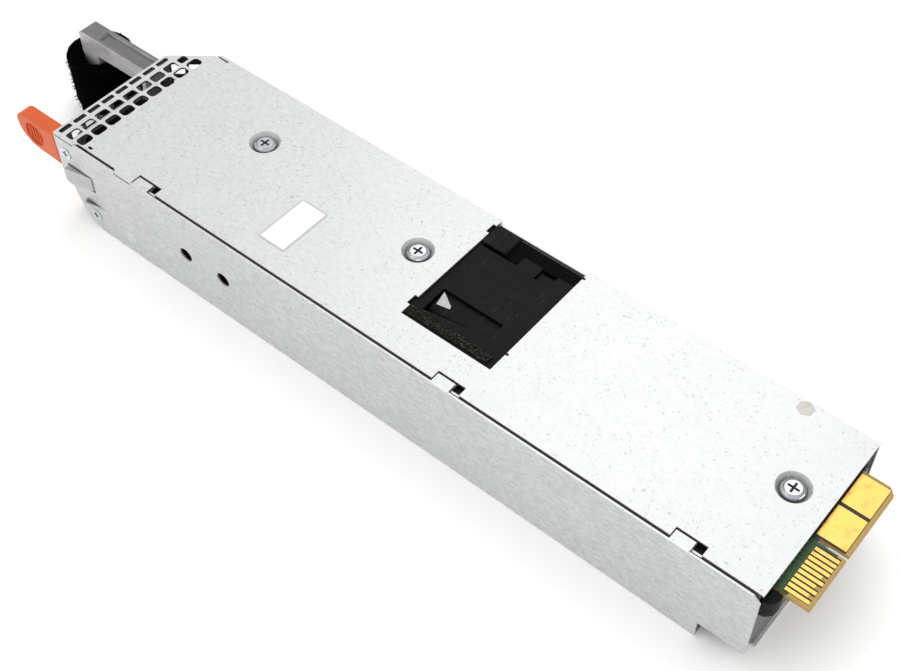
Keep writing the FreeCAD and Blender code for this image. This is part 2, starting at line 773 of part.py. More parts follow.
def make_cover_hardware():
    """Cover screws, side screws, clinch stud and the blank label."""
    screws = []
    for x, y in SCREWS:
        seat = f"({DIMPLE_LOW} + gauge)"
        head = rod((x, y, seat), "screw_head", "0.6 * screw_head_high")
        crown = cone(
            (x, y, f"{seat} + 0.6 * screw_head_high"), "screw_head - 0.5", "0.7 * screw_head",
            "0.4 * screw_head_high")
        shank = rod((x, y, f"{BOARD_LOW} - 0.7 * spacer_long"), "screw_shank",
                    f"{seat} - {BOARD_LOW} + 0.7 * spacer_long")
        top = f"{seat} + screw_head_high"
        slots = [
            box((f"{x} - 1.9", f"{y} - 0.35", f"{top} - 1"), ("3.8", "0.7", "2")),
            box((f"{x} - 0.35", f"{y} - 1.9", f"{top} - 1"), ("0.7", "3.8", "2")),
        ]
        screws.append(cut(join(head, crown, shank), *slots))
    finish(group(*screws), "cover_screws")
    sides = []
    for y, z in SIDE_SCREWS:
        shank = rod((f"{NEAR} - side_screw_long", y, z), "side_screw_shank", "side_screw_long", "x")
        head = rod((NEAR, y, z), "side_screw_head", "side_head_high", "x")
        slots = [
            box((f"{NEAR} + 0.1", f"{y} - 1.4", f"{z} - 0.3"), ("1", "2.8", "0.6")),
            box((f"{NEAR} + 0.1", f"{y} - 0.3", f"{z} - 1.4"), ("1", "0.6", "2.8")),
        ]
        sides.append(cut(join(shank, head), *slots))
    finish(group(*sides), "side_screws")
    stud = prism((FAR_STUD[0], FAR_STUD[1], ROOF), "stud_half / cos(30)", "gauge")
    stem = rod((FAR_STUD[0], FAR_STUD[1], f"{ROOF} - 1.2"), "0.6 * stud_half", "1.2")
    finish(join(stud, stem), "clinch_stud")
    label = Form("Label")
    sketch = label.sketch(offset="case_height")
    low = ("label_x - label_wide / 2", f"{FRONT} + label_y - label_long / 2")
    high = ("label_x + label_wide / 2", f"{FRONT} + label_y + label_long / 2")
    soft_box(sketch, low, high, "0.9")
    label.feature("Pad", sketch, "label_thick")
    finish(label.body, "blank_label")


def make_front_panel():
    """Panel behind the handle, bent round the far corner, with its flanges and vents."""
    form = Form("Panel")
    step = f"({FRONT_STEP} + 0.6)"
    form.pad([
        (f"{FAR} + chamfer_wide", "gauge"),
        (f"{NEAR} - corner_cut_x", "gauge"),
        (f"{NEAR} - corner_cut_x", step),
        (f"{NEAR} - gauge", step),
        (f"{NEAR} - gauge", f"{ROOF} - fit_gap"),
        (f"{FAR} + chamfer_wide", f"{ROOF} - fit_gap"),
    ], "gauge", "XZ_Plane", f"-({FRONT})")
    flange_top = f"({TONGUE_LOW} - gauge)"
    form.pad([
        (PANEL_OUT, flange_top), (PANEL_OUT, step), (f"{FRONT} + 4.7", f"{step} - 0.8"),
        (f"{FRONT} + 0.5 * corner_cut_y", f"0.5 * {FRONT_STEP}"), (f"{FRONT} + 0.7 * corner_cut_y", "3"),
        (f"{FRONT} + panel_flange", "3"), (f"{FRONT} + panel_flange", f"0.85 * {FRONT_STEP}"),
        (f"{FRONT} + 0.6 * panel_flange", flange_top),
    ], "gauge", "YZ_Plane", f"{NEAR} - 2 * gauge")
    form.pad(between((f"{FRONT} + chamfer_long - 1.9", "gauge"),
                     (f"{FRONT} + chamfer_long + panel_flange - fit_gap", f"{ROOF} - fit_gap")),
             "gauge", "YZ_Plane", f"{FAR} + gauge")
    opening = form.sketch("XZ_Plane", f"-({FRONT} - gauge)")
    soft_box(opening, ("inlet_x - inlet_wide / 2", "inlet_z - inlet_high / 2"),
             ("inlet_x + inlet_wide / 2", "inlet_z + inlet_high / 2"), "1")
    polygon(opening, between(
        (f"{LEVER_NEAR} - lever_wide - 1.4", f"{TONGUE_LOW} - tongue_hole_gap"),
        (f"{NEAR} + 1", f"{TONGUE_LOW} + tongue_high + tongue_hole_gap")))
    circle(opening, "lamp_x", "lamp_z", "lamp_radius")
    for level in ("handle_screw_top", "handle_screw_low"):
        circle(opening, f"{HANDLE_FAR} + handle_wide / 2", level, "side_screw_shank")
    form.feature("Pocket", opening, "gauge + 0.01")
    grid = form.sketch("XZ_Plane", f"-({FRONT} - gauge)")
    first = "(inlet_x - 2.5 * panel_pitch)"
    for low, high in (("gauge + 1.4", "inlet_z - inlet_high / 2 - inlet_rim - 0.7"),
                      ("inlet_z + inlet_high / 2 + inlet_rim + 0.9", f"{ROOF} - 2.6")):
        soft_box(grid, (f"{first} - panel_vent / 2", low), (f"{first} + panel_vent / 2", high), "0.7")
    vents = form.feature("Pocket", grid, "gauge + 0.01")
    form.row(vents, "X_Axis", 6, "panel_pitch").Reversed = False
    hole = form.sketch("YZ_Plane", f"{NEAR} - gauge")
    circle(hole, *SIDE_SCREWS[1], "side_screw_shank")
    form.feature("Pocket", hole, "gauge")
    corner = Form("Corner")
    wall_long = "sqrt(chamfer_wide ^ 2 + chamfer_long ^ 2)"
    corner.pad(between((f"-{wall_long} + 1.4", "gauge"), ("0.3 * gauge", f"{ROOF} - fit_gap")),
               "gauge", "XZ_Plane")
    grid = corner.sketch("XZ_Plane", "gauge")
    for level in range(5):
        low = f"(gauge + 3.6 + {level} * panel_pitch)"
        column = f"(-0.48 * {wall_long} - panel_pitch)"
        soft_box(
            grid, (f"{column} - panel_vent / 2", low),
            (f"{column} + panel_vent / 2", f"{low} + panel_vent"), "1.1")
    slots = corner.feature("Pocket", grid, "gauge + 0.01")
    corner.row(slots, "X_Axis", 3, "panel_pitch").Reversed = False
    turn = -math.degrees(math.atan2(size_of("chamfer_long"), size_of("chamfer_wide")))
    corner.body.Placement.Rotation = FreeCAD.Rotation(FreeCAD.Vector(0, 0, 1), turn)
    place(corner.body, (f"{FAR} + chamfer_wide", FRONT, "0"))
    finish(join(form.body, corner.body), "front_panel")


def make_inlet():
    """Mains inlet in the panel with its three pins, its wires and the status lamp."""
    lip = f"({PANEL_OUT} - inlet_lip)"
    form = Form("Inlet")
    shell = form.sketch("XZ_Plane", f"-({PANEL_OUT} + inlet_deep)")
    soft_box(shell, ("inlet_x - inlet_wide / 2", "inlet_z - inlet_high / 2"),
             ("inlet_x + inlet_wide / 2", "inlet_z + inlet_high / 2"), "1")
    form.feature("Pad", shell, "inlet_deep")
    rim = form.sketch("XZ_Plane", f"-({PANEL_OUT})")
    soft_box(rim, ("inlet_x - inlet_wide / 2 - inlet_rim", "inlet_z - inlet_high / 2 - inlet_rim"),
             ("inlet_x + inlet_wide / 2 + inlet_rim", "inlet_z + inlet_high / 2 + inlet_rim"), "2")
    form.feature("Pad", rim, "inlet_lip")
    form.pocket([
        ("inlet_x - socket_wide / 2", "inlet_z - socket_high / 2"),
        ("inlet_x + socket_wide / 2", "inlet_z - socket_high / 2"),
        ("inlet_x + socket_wide / 2", "inlet_z + socket_high / 2 - socket_corner"),
        ("inlet_x + socket_wide / 2 - socket_corner", "inlet_z + socket_high / 2"),
        ("inlet_x - socket_wide / 2 + socket_corner", "inlet_z + socket_high / 2"),
        ("inlet_x - socket_wide / 2", "inlet_z + socket_high / 2 - socket_corner"),
    ], "socket_deep", "XZ_Plane", f"-{lip}")
    finish(form.body, "inlet_socket")
    pins = []
    for side, rise in (("-inlet_pin_side", "-inlet_pin_shift"), ("0", "inlet_pin_shift"),
                       ("inlet_pin_side", "-inlet_pin_shift")):
        pins.append(box(
            (f"inlet_x + {side} - inlet_pin_thick / 2", f"{lip} + socket_deep - inlet_pin_long",
             f"inlet_z + {rise} - inlet_pin_wide / 2"),
            ("inlet_pin_thick", "inlet_pin_long", "inlet_pin_wide")))
    finish(group(*pins), "inlet_pins")
    wires = []
    back = size_of("inlet_deep") - size_of("gauge") - size_of("case_length") / 2
    edge = size_of("board_front") - size_of("case_length") / 2
    low = size_of("inlet_z")
    high = size_of("case_height") - size_of("dimple_deep") - size_of("gauge") - size_of("sheet_film")
    high -= size_of("board_thick")
    for shift in (-9.0, 0.0, 9.0):
        x = size_of("inlet_x") + shift
        wires.append(cord([
            (x, back, low), (x, back + 3, low), (x, edge + 1.5, low + 4), (x, edge + 1.5, high),
        ], size_of("wire_radius")))
    finish(group(*wires), "inlet_wires")
    lamp = rod(("lamp_x", f"{PANEL_OUT} - 0.6", "lamp_z"), "lamp_radius", "5", "y")
    flange = rod(("lamp_x", f"{FRONT}", "lamp_z"), "lamp_radius + 0.6", "1.2", "y")
    finish(join(lamp, flange), "status_lamp")


def cord(points, radius):
    """A round wire along straight stretches with mitred turns."""
    corners = [FreeCAD.Vector(*point) for point in points]
    path = Part.Wire(Part.makePolygon(corners))
    ends = Part.Wire(Part.makeCircle(radius, corners[0], corners[1] - corners[0]))
    item = doc.addObject("Part::Feature", "Wire")
    item.Shape = path.makePipeShell([ends], True, False, 1)
    return item


def make_latch():
    """Lever with its tongue, the sprung leaf with the catch, the leaf's foot and the rivets."""
    back = f"({PANEL_OUT} - lever_gap)"
    tip = f"({back} - lever_out)"
    lever = Form("Lever")
    lever.pad([
        (back, LEVER_TOP), (f"{tip} + 3.5", LEVER_TOP), (f"{tip} + 1.3", f"{LEVER_TOP} - 0.8"),
        (tip, f"{LEVER_TOP} - 3"), (f"{tip} + 0.3", f"{LEVER_TOP} - 6.4"),
        (f"{tip} + 1.2", f"{LEVER_TOP} - 8.5"), (f"{tip} + 2.7", f"{LEVER_TOP} - 10.4"),
        (f"{tip} + 5.7", f"{LEVER_TOP} - 12.4"), (f"{tip} + 9.6", f"{LEVER_TOP} - 13.2"),
        (back, f"{LEVER_TOP} - lever_high"),
    ], "lever_wide", "YZ_Plane", f"{LEVER_NEAR} - lever_wide")
    inner = f"({LEAF_OUT} - leaf_thick)"
    tongue = f"({inner} - tongue_wide)"
    lever.pad(between((f"{back} - 2", TONGUE_LOW), (f"{HINGE_Y} - 5", f"{TONGUE_LOW} + tongue_high")),
             "tongue_wide", "YZ_Plane", tongue)
    grip = lever.sketch("YZ_Plane", LEVER_NEAR)
    soft_box(grip, (f"{tip} + 4.2", f"{LEVER_TOP} - 11.2"), (f"{tip} + 12.8", f"{LEVER_TOP} - 1.8"), "4")
    lever.feature("Pocket", grip, "grip_deep")
    rib = lever.pad(between((f"{tip} + 5.6", f"{LEVER_TOP} - 9.2"), (f"{tip} + 6.3", f"{LEVER_TOP} - 3.8")),
                   "0.8 * grip_deep", "YZ_Plane", f"{LEVER_NEAR} - grip_deep")
    lever.row(rib, "Y_Axis", 4, "1.7").Reversed = False
    rivet_spots = [(f"({HINGE_Y} - rivet_back)", f"({TONGUE_LOW} + {rise} * tongue_high)")
                   for rise in ("0.25", "0.75")]
    holes = lever.sketch("YZ_Plane", inner)
    for spot in rivet_spots:
        circle(holes, *spot, "rivet_radius")
    lever.feature("Pocket", holes, "tongue_wide")
    finish(lever.body, "release_lever")
    leaf = Form("Leaf")
    leaf.pad(
        between((inner, f"{FRONT} + leaf_front"), (LEAF_OUT, HINGE_Y)), "catch_high", offset=CATCH_LOW)
    catch = f"({FRONT} + catch_front)"
    proud = f"({NEAR} + catch_out)"
    leaf.pad([
        (f"{inner} + 0.1", catch), (LEAF_OUT, catch), (proud, f"{catch} + 0.2"), (proud, f"{catch} + 0.9"),
        (NEAR, f"{catch} + catch_long - 0.6"), (f"{inner} + 0.1", f"{catch} + catch_long"),
    ], "catch_high", offset=CATCH_LOW)
    holes = leaf.sketch("YZ_Plane", LEAF_OUT)
    for spot in rivet_spots:
        circle(holes, *spot, "rivet_radius")
    leaf.feature("Pocket", holes, "leaf_thick")
    finish(leaf.body, "latch_leaf")
    rivets = []
    for spot in rivet_spots:
        at = (f"{tongue} - rivet_head", *spot)
        rivets.append(join(
            rod(at, "rivet_radius", "tongue_wide + leaf_thick + 2 * rivet_head", "x"),
            rod(at, "1.7 * rivet_radius", "rivet_head", "x"),
            rod((LEAF_OUT, *spot), "1.7 * rivet_radius", "rivet_head", "x")))
    finish(group(*rivets), "lever_rivets")
    foot = Form("Foot")
    start = f"({HINGE_Y} + hinge_gap)"
    foot.pad([
        (start, f"{CATCH_LOW} + catch_high"), (start, "foot_low"), (f"{start} + foot_long", "foot_low"),
        (f"{start} + foot_long", CATCH_LOW), (f"{start} + 0.5 * foot_long", f"{CATCH_LOW} + catch_high"),
    ], f"{NEAR} - gauge - {inner}", "YZ_Plane", inner)
    hole = foot.sketch("YZ_Plane", f"{NEAR} - gauge")
    circle(hole, *FOOT_RIVET, "side_screw_shank")
    foot.feature("Pocket", hole, "2 * gauge")
    finish(foot.body, "leaf_foot")
    at = (inner, *FOOT_RIVET)
    finish(join(
        rod(at, "side_screw_shank", f"{NEAR} - {inner}", "x"),
        rod((f"{inner} - 0.4", at[1], at[2]), "side_screw_head", "0.4", "x"),
        cone((NEAR, at[1], at[2]), "side_screw_head", "0.8 * side_screw_head", "side_head_high", "x"),
    ), "foot_rivet")


def make_handle():
    """Handle loop with its screws and the strap wound on its end bar."""
    form = Form("Handle")
    form.pad([
        (HANDLE_OUT, "handle_low"), (FOOT_OUT, "handle_low"), (FOOT_OUT, "handle_low + low_arm"),
        (f"{HANDLE_OUT} + end_bar", "handle_low + low_arm"),
        (f"{HANDLE_OUT} + end_bar", "handle_top - arm_high"),
        (FOOT_OUT, "handle_top - arm_high"), (FOOT_OUT, "handle_top"), (HANDLE_OUT, "handle_top"),
    ], "handle_wide", "YZ_Plane", HANDLE_FAR)
    end = size_of("case_length") / -2 - size_of("handle_out")
    form.round_edges(edge_at(y=end, z=size_of("handle_top")), "handle_round")
    form.round_edges(edge_at(y=end, z=size_of("handle_low")), "handle_round")
    form.pad(between((HANDLE_FAR, FOOT_OUT), ("handle_near + foot_over", PANEL_OUT)),
             "handle_top - handle_low", offset="handle_low")
    form.pocket(between((f"{HANDLE_FAR} + channel_wall", f"{HANDLE_OUT} + channel_start"),
                        ("handle_near - channel_wall", f"{FOOT_OUT} - channel_wall")),
                "channel_deep", offset="handle_top")
    middle = f"({HANDLE_FAR} + handle_wide / 2)"
    holes = form.sketch("XZ_Plane", f"-({PANEL_OUT})")
    for level in ("handle_screw_top", "handle_screw_low"):
        circle(holes, middle, level, "side_screw_shank")
    form.feature("Pocket", holes, "foot_thick - 0.2", True)
    finish(form.body, "handle")
    screws = []
    for level in ("handle_screw_top", "handle_screw_low"):
        shank = rod((middle, f"{FOOT_OUT} + 0.2", level), "side_screw_shank", "foot_thick + gauge - 0.2", "y")
        head = rod((middle, FRONT, level), "side_screw_head", "side_screw_shank", "y")
        screws.append(cut(join(shank, head), box(
            (f"{middle} - 0.3", f"{FRONT} + 0.8", f"{level} - side_screw_head"),
            ("0.6", "1", "2 * side_screw_head"))))
    finish(group(*screws), "handle_screws")
    bar = f"({HANDLE_OUT} + end_bar / 2)"
    low = "(handle_low + low_arm + 2 * fit_gap)"
    inner_turns = rod((middle, bar, low), "strap_outer - strap_thick", "strap_wide")
    last_turn = rod((middle, bar, low), "strap_outer", "strap_wide")
    last_turn.Angle = 250
    opening = rod((middle, bar, f"{low} - 1"), "strap_inner", "strap_wide + 2")
    finish(cut(join(inner_turns, last_turn), opening), "cable_strap")


def edge_at(**spot):
    """A test for the edges whose two ends share the given coordinates."""
    def wanted(edge):
        ends = [vertex.Point for vertex in edge.Vertexes]
        return len(ends) == 2 and all(
            abs(getattr(end, axis) - at) < 0.01 for end in ends for axis, at in spot.items())
    return wanted


def make_board():
    """Circuit board with its edge tabs, contacts, vias, insulator and end guide."""
    back = f"({REAR} - 2)"
    guide_far = "(case_width / 2 - gauge - wall_gap - guide_wide)"
    guide_front = f"({REAR} + guide_out - guide_long)"
    tab = f"({REAR} + tab_end)"
    board = Form("Board")
    board.pad([
        (BOARD_FAR, f"{FRONT} + board_front"), (BOARD_NEAR, f"{FRONT} + board_front"),
        (BOARD_NEAR, guide_front),
        (guide_far, guide_front), (guide_far, back), ("signal_near", back), ("signal_near", tab),
        ("signal_far", tab), ("signal_far", f"{REAR} + key_front"), ("power_near", f"{REAR} + key_front"),
        ("power_near", tab), ("power_far + tab_corner", tab), ("power_far", f"{tab} - tab_corner"),
        ("power_far", back), (BOARD_FAR, back), (BOARD_FAR, f"{WINDOW_REAR} + 2.4"),
        (f"{WINDOW_NEAR} + 1", f"{WINDOW_REAR} + 2.4"), (f"{WINDOW_NEAR} + 1", f"{WINDOW_FRONT} - 2"),
        (BOARD_FAR, f"{WINDOW_FRONT} - 2"),
    ], "board_thick", offset=BOARD_LOW)
    holes = board.sketch(offset=BOARD_TOP)
    for x, y in SCREWS:
        circle(holes, x, y, "board_hole")
    board.feature("Pocket", holes, "board_thick")
    finish(board.body, "main_board")
    film = Form("Film")
    film.pad([
        (f"{BOARD_FAR} + 0.5", f"{FRONT} + board_front + 0.5"),
        (f"{BOARD_NEAR} - 0.5", f"{FRONT} + board_front + 0.5"),
        (f"{BOARD_NEAR} - 0.5", f"{guide_front} - 0.5"), (f"{guide_far} - 1", f"{guide_front} - 0.5"),
        (f"{guide_far} - 1", f"{REAR} - 4"), (f"{BOARD_FAR} + 0.5", f"{REAR} - 4"),
        (f"{BOARD_FAR} + 0.5", f"{WINDOW_REAR} + 3"), (f"{WINDOW_NEAR} + 1.5", f"{WINDOW_REAR} + 3"),
        (f"{WINDOW_NEAR} + 1.5", f"{WINDOW_FRONT} - 2.5"), (f"{BOARD_FAR} + 0.5", f"{WINDOW_FRONT} - 2.5"),
    ], "sheet_film", offset=BOARD_TOP)
    holes = film.sketch(offset=f"{BOARD_TOP} + sheet_film")
    for x, y in SCREWS:
        circle(holes, x, y, "board_hole")
    film.feature("Pocket", holes, "sheet_film")
    finish(film.body, "insulator_sheet")
    pads = []
    fingers = []
    vias = []
    for face in (BOARD_TOP, f"({BOARD_LOW} - pad_thick)"):
        for step in range(2):
            pads.append(box((f"pad_far + {step} * pad_pitch", f"{REAR} + pad_inner", face),
                            ("pad_wide", "pad_end - pad_inner", "pad_thick")))
        for step in range(10):
            end = "finger_end - finger_short" if step in (4, 6, 8) else "finger_end"
            fingers.append(box((f"finger_first + {step} * finger_pitch", f"{REAR} + finger_inner", face),
                               ("finger_wide", f"{end} - finger_inner", "pad_thick")))
    for step in range(9):
        vias.append(rod((f"finger_first + 0.2 + {step} * via_pitch", f"{REAR} - 0.6", BOARD_TOP),
                        "via_radius", "pad_thick"))
    finish(group(*pads), "power_pads")
    finish(group(*fingers), "signal_contacts")
    finish(group(*vias), "board_vias")
    guide = Form("Guide")
    outer = f"({REAR} + guide_out)"
    guide.pad([
        (guide_far, guide_front), (BOARD_NEAR, guide_front), (BOARD_NEAR, f"{REAR} - gauge"),
        (COVER_NEAR, f"{REAR} - gauge"), (COVER_NEAR, f"{outer} - 4"),
        (f"{COVER_NEAR} - 0.5", f"{outer} - 2"),
        (f"{COVER_NEAR} - 2", f"{outer} - 0.5"), (f"{COVER_NEAR} - 4", outer), (guide_far, outer),
    ], "guide_high", offset=f"{BOARD_TOP} - guide_high")
    finish(guide.body, "board_guide")
    spacers = []
    for x, y in SCREWS:
        low = f"({BOARD_LOW} - spacer_long)"
        spacers.append(cut(prism((x, y, low), "spacer_radius / cos(30)", "spacer_long"),
                           rod((x, y, f"{low} - 1"), "screw_shank", "spacer_long + 2")))
    finish(group(*spacers), "board_spacers")


def make_cradle():
    """Moulded insert round the fan, with its foam strip and the small spring clip."""
    low = f"({FAN_LOW} + {FAN_SIDE})"
    top = f"({low} + cradle_plate)"
    near = f"({WINDOW_NEAR} - cradle_inset)"
    step_x = f"({FAR} + ledge_wide)"
    form = Form("Cradle")
    form.pad(
        between((BOARD_FAR, f"{WINDOW_FRONT} - 1"), (near, f"{WINDOW_REAR} + 0.9")), "cradle_plate",
        offset=low)
    form.pocket(
        between((f"{FAR} - 1", f"{WINDOW_FRONT} + ledge_front"), (step_x, f"{WINDOW_REAR} + 1")),
        "ledge_deep", offset=top)
    form.pocket(
        between((f"{step_x} - 0.1", f"{WINDOW_FRONT} + ledge_front"),
                (f"{step_x} + 4.6", f"{WINDOW_FRONT} + 1.53 * ledge_front")),
        "0.75 * ledge_deep", offset=top)
    form.pocket(
        between((f"{step_x} - 0.1", f"{WINDOW_FRONT} + slot_front"),
                (f"{step_x} + slot_wide", f"{WINDOW_FRONT} + slot_front + slot_long")),
        "cradle_plate", offset=top)
    form.pocket([
        (f"{near} - 5.7", f"{WINDOW_FRONT} + 3.7"), (f"{near} - 9.7", f"{WINDOW_FRONT} + 27.2"),
        (f"{near} - 16.4", f"{WINDOW_FRONT} + 27.6"), (f"{near} - 16.4", f"{WINDOW_FRONT} + 3.5"),
    ], "cradle_plate", offset=top)
    pad_near = f"({FAR} + pad_reach)"
    form.pad(
        between((f"{FAR} + 2.6", f"{WINDOW_FRONT} + fit_gap"),
                (pad_near, f"{WINDOW_FRONT} + ledge_front - fit_gap")),
        "raised_high", offset=top)
    form.pocket(
        between((pad_near, f"{WINDOW_FRONT} + 1"),
                (f"{pad_near} + pad_slot", f"{WINDOW_FRONT} + 1.2 * ledge_front")),
        "cradle_plate", offset=top)
    wall = f"({FAN_FRONT} + 1)"
    form.pad(
        between((f"{BOARD_FAR} + fit_gap", wall),
                (f"fan_x - {FAN_SIDE} / 2 - fit_gap", f"{wall} + cradle_wall")),
        f"{low} - {FAN_LOW}", offset=FAN_LOW)
    side = f"(fan_x + {FAN_SIDE} / 2 + 2)"
    form.pad(between((side, wall), (near, f"{wall} + cradle_wall")), f"{low} - {FAN_LOW}", offset=FAN_LOW)
    form.pad(
        between((side, wall), (f"{side} + cradle_wall", f"{FAN_REAR}")), f"{low} - {FAN_LOW}",
        offset=FAN_LOW)
    form.pad(between((f"{near} - 1", wall), (f"{BOARD_NEAR} - fit_gap", f"{wall} + cradle_wall")),
             f"{BOARD_LOW} - fit_gap - {FAN_LOW}", offset=FAN_LOW)
    finish(form.body, "fan_cradle")
    foam = Form("Foam")
    foam.pad(
        between((f"{near} - foam_inset - foam_wide", f"{WINDOW_FRONT} + fit_gap"),
                (f"{near} - foam_inset", f"{WINDOW_FRONT} + foam_long")),
        "foam_thick", offset=top)
    finish(foam.body, "foam_strip")
    clip = Form("Clip")
    clip.pad([
        (f"{near} - 16.1", f"{WINDOW_FRONT} + 3.9"), (f"{near} - 10.3", f"{WINDOW_FRONT} + 5.2"),
        (f"{near} - 11.3", f"{WINDOW_FRONT} + 10"), (f"{near} - 12.5", f"{WINDOW_FRONT} + 9.6"),
    ], "leaf_thick", offset=low)
    finish(clip.body, "spring_clip")


def make_fan():
    """Axial fan: frame with rear struts, stator, bearings, shaft and bladed impeller."""
    form = Form("Frame")
    outline = form.sketch("XZ_Plane", f"-{FAN_REAR}")
    half = f"({FAN_SIDE} / 2)"
    soft_box(
        outline, (f"fan_x - {half}", FAN_LOW), (f"fan_x + {half}", f"{FAN_LOW} + {FAN_SIDE}"), "2.5")
    circle(outline, "fan_x", FAN_Z, FAN_BORE)
    screw_place = f"({half} - fan_screw_edge)"
    for side in ("-", "+"):
        for rise in ("-", "+"):
            circle(outline, f"fan_x {side} {screw_place}", f"{FAN_Z} {rise} {screw_place}", "fan_screw_hole")
    form.feature("Pad", outline, "fan_deep")
    parts = [form.body]
    disc = f"({FAN_REAR} - fan_wall)"
    parts.append(rod(("fan_x", disc, FAN_Z), "hub_radius", "fan_wall", "y"))
    for turn in (30, 150, 270):
        strut = box(("fan_x", disc, FAN_Z), (f"{FAN_BORE} + 0.5", "fan_wall", "2"))
        strut.Placement.Rotation = FreeCAD.Rotation(FreeCAD.Vector(0, 1, 0), turn)
        parts.append(strut)
    tube = f"({FAN_FRONT} + 6)"
    parts.append(rod(("fan_x", tube, FAN_Z), "post_radius", f"{disc} - {tube}", "y"))
    bore = rod(("fan_x", f"{tube} - 1", FAN_Z), "bearing_radius", f"{disc} - {tube} + 1", "y")
    finish(cut(join(*parts), bore), "fan_frame")
    stator = rod(("fan_x", f"{tube} + 4", FAN_Z), "stator_radius", "12", "y")
    stator_hole = rod(("fan_x", f"{tube} + 3", FAN_Z), "post_radius", "14", "y")
    slots = []
    for turn in (45, 135, 225, 315):
        slot = box(("fan_x", f"{tube} + 3", FAN_Z), ("stator_radius + 1", "14", "1"))
        slot.Placement.Rotation = FreeCAD.Rotation(FreeCAD.Vector(0, 1, 0), turn)
        slots.append(slot)
    core = cut(stator, stator_hole, *slots)
    finish(core, "fan_stator")
    bearings = []
    for start in (f"{tube} + 0.5", f"{disc} - bearing_long - 0.5"):
        bearings.append(cut(
            rod(("fan_x", start, FAN_Z), "bearing_radius", "bearing_long", "y"),
            rod(("fan_x", f"{start} - 1", FAN_Z), "shaft_radius + shaft_gap", "bearing_long + 2", "y")))
    finish(group(*bearings), "fan_bearings")
    hub = f"({FAN_FRONT} + 3)"
    finish(rod(("fan_x", hub, FAN_Z), "shaft_radius", f"{disc} - {hub} - fit_gap", "y"), "fan_shaft")
    shell = cut(
        rod(("fan_x", hub, FAN_Z), "hub_radius", "hub_long", "y"),
        rod(("fan_x", f"{hub} + hub_wall", FAN_Z), "hub_radius - hub_wall", "hub_long", "y"))
    boss = rod(("fan_x", hub, FAN_Z), "0.35 * hub_radius", "2", "y")
    blades = doc.addObject("Part::Feature", "Blades")
    blades.Shape = impeller_blades(7)
    place(blades, ("fan_x", f"{hub} + 1", FAN_Z))
    bore = rod(("fan_x", f"{hub} - 1", FAN_Z), "shaft_radius", "hub_long", "y")
    finish(cut(join(shell, boss, blades), bore), "fan_impeller")


def impeller_blades(count):
    """Twisted blades about the Y axis, trimmed to the rotor's radius."""
    hub, tip = size_of("hub_radius"), size_of(ROTOR_RADIUS)
    long = size_of("blade_long")
    sections = []
    for radius, swing in ((hub - 0.5, 3.0), (0.5 * (hub + tip), 5.2), (tip + 2.5, 7.4)):
        front = []
        back = []
        for i in range(6):
            share = i / 5
            across = swing * (math.sin(share * math.pi / 2) * 2 - 1)
            thick = 0.45 + 0.35 * math.sin(share * math.pi)
            front.append(FreeCAD.Vector(across - thick, share * long, radius))
            back.append(FreeCAD.Vector(across + thick, share * long, radius))
        loop = front + back[::-1]
        sections.append(Part.makePolygon(loop + loop[:1]))
    blade = Part.makeLoft(sections, True, True)
    axis = FreeCAD.Vector(0, 1, 0)
    blade = blade.common(Part.makeCylinder(tip, long, FreeCAD.Vector(0, 0, 0), axis))
    turned = []
    for i in range(count):
        copy = blade.copy()
        copy.rotate(FreeCAD.Vector(0, 0, 0), axis, 360 * i / count)
        turned.append(copy)
    return Part.makeCompound(turned)


def toroid(x, start, outer, inner, high, turns):
    """An upright wound core under the board. Returns its core and its winding."""
    full_half = "(winding_thick + " + high + " / 2)"
    at = (x, f"({start} + {full_half})", f"({BOARD_LOW} - {outer})")
    core = cut(
        rod((at[0], f"{at[1]} - {high} / 2", at[2]), f"{outer} - winding_thick", high, "y"),
        rod((at[0], f"{at[1]} - {high}", at[2]), inner, f"2 * {high}", "y"))
    winding = Form("Winding")
    sketch = winding.sketch(offset="-winding_thick / 2")
    wound = f"({inner} - winding_gap)"
    polygon(sketch, between((f"{wound} - winding_thick", f"-{full_half}"), (outer, full_half)))
    polygon(sketch, between((wound, f"-{high} / 2"), (f"{outer} - winding_thick", f"{high} / 2")))
    turn = winding.feature("Pad", sketch, "winding_thick")
    pattern = winding.body.newObject("PartDesign::PolarPattern", "Turns")
    pattern.Originals = [turn]
    axis = next(item for item in winding.body.Origin.OriginFeatures if item.Role == "Y_Axis")
    pattern.Axis = (axis, [""])
    pattern.Angle = 360
    pattern.Occurrences = turns
    winding.body.Tip = pattern
    place(winding.body, at)
    return core, winding.body


def heat_sink(x, start, long, fin, name):
    """A finned profile that hangs from the board and runs along the case."""
    form = Form("Sink")
    low = f"({BOARD_LOW} - sink_high)"
    end = f"-({start} + {long})"
    form.pad(between((x, low), (f"{x} + sink_thick", BOARD_LOW)), long, "XZ_Plane", end)
    rib = form.pad(between((f"{x} - {fin}", low), (f"{x} + 0.2", f"{low} + sink_fin_thick")), long,
                   "XZ_Plane", end)
    form.row(rib, "Z_Axis", 6, "sink_fin_pitch").Reversed = False
    finish(form.body, name)


def package(x, start, thick, wide):
    """A power package on a heat sink, with three leads up to the board."""
    gap = "(0.18 * package_high)"
    body = box((x, start, f"{BOARD_LOW} - package_high - {gap}"), (thick, wide, "package_high"))
    items = [body]
    for share in ("0.2", "0.5", "0.8"):
        items.append(box(
            (f"{x} + {thick} / 2 - lead_radius", f"{start} + {share} * {wide} - lead_radius",
             f"{BOARD_LOW} - {gap} - 0.5"), ("2 * lead_radius", "2 * lead_radius", f"{gap} + 0.5")))
    return join(*items)


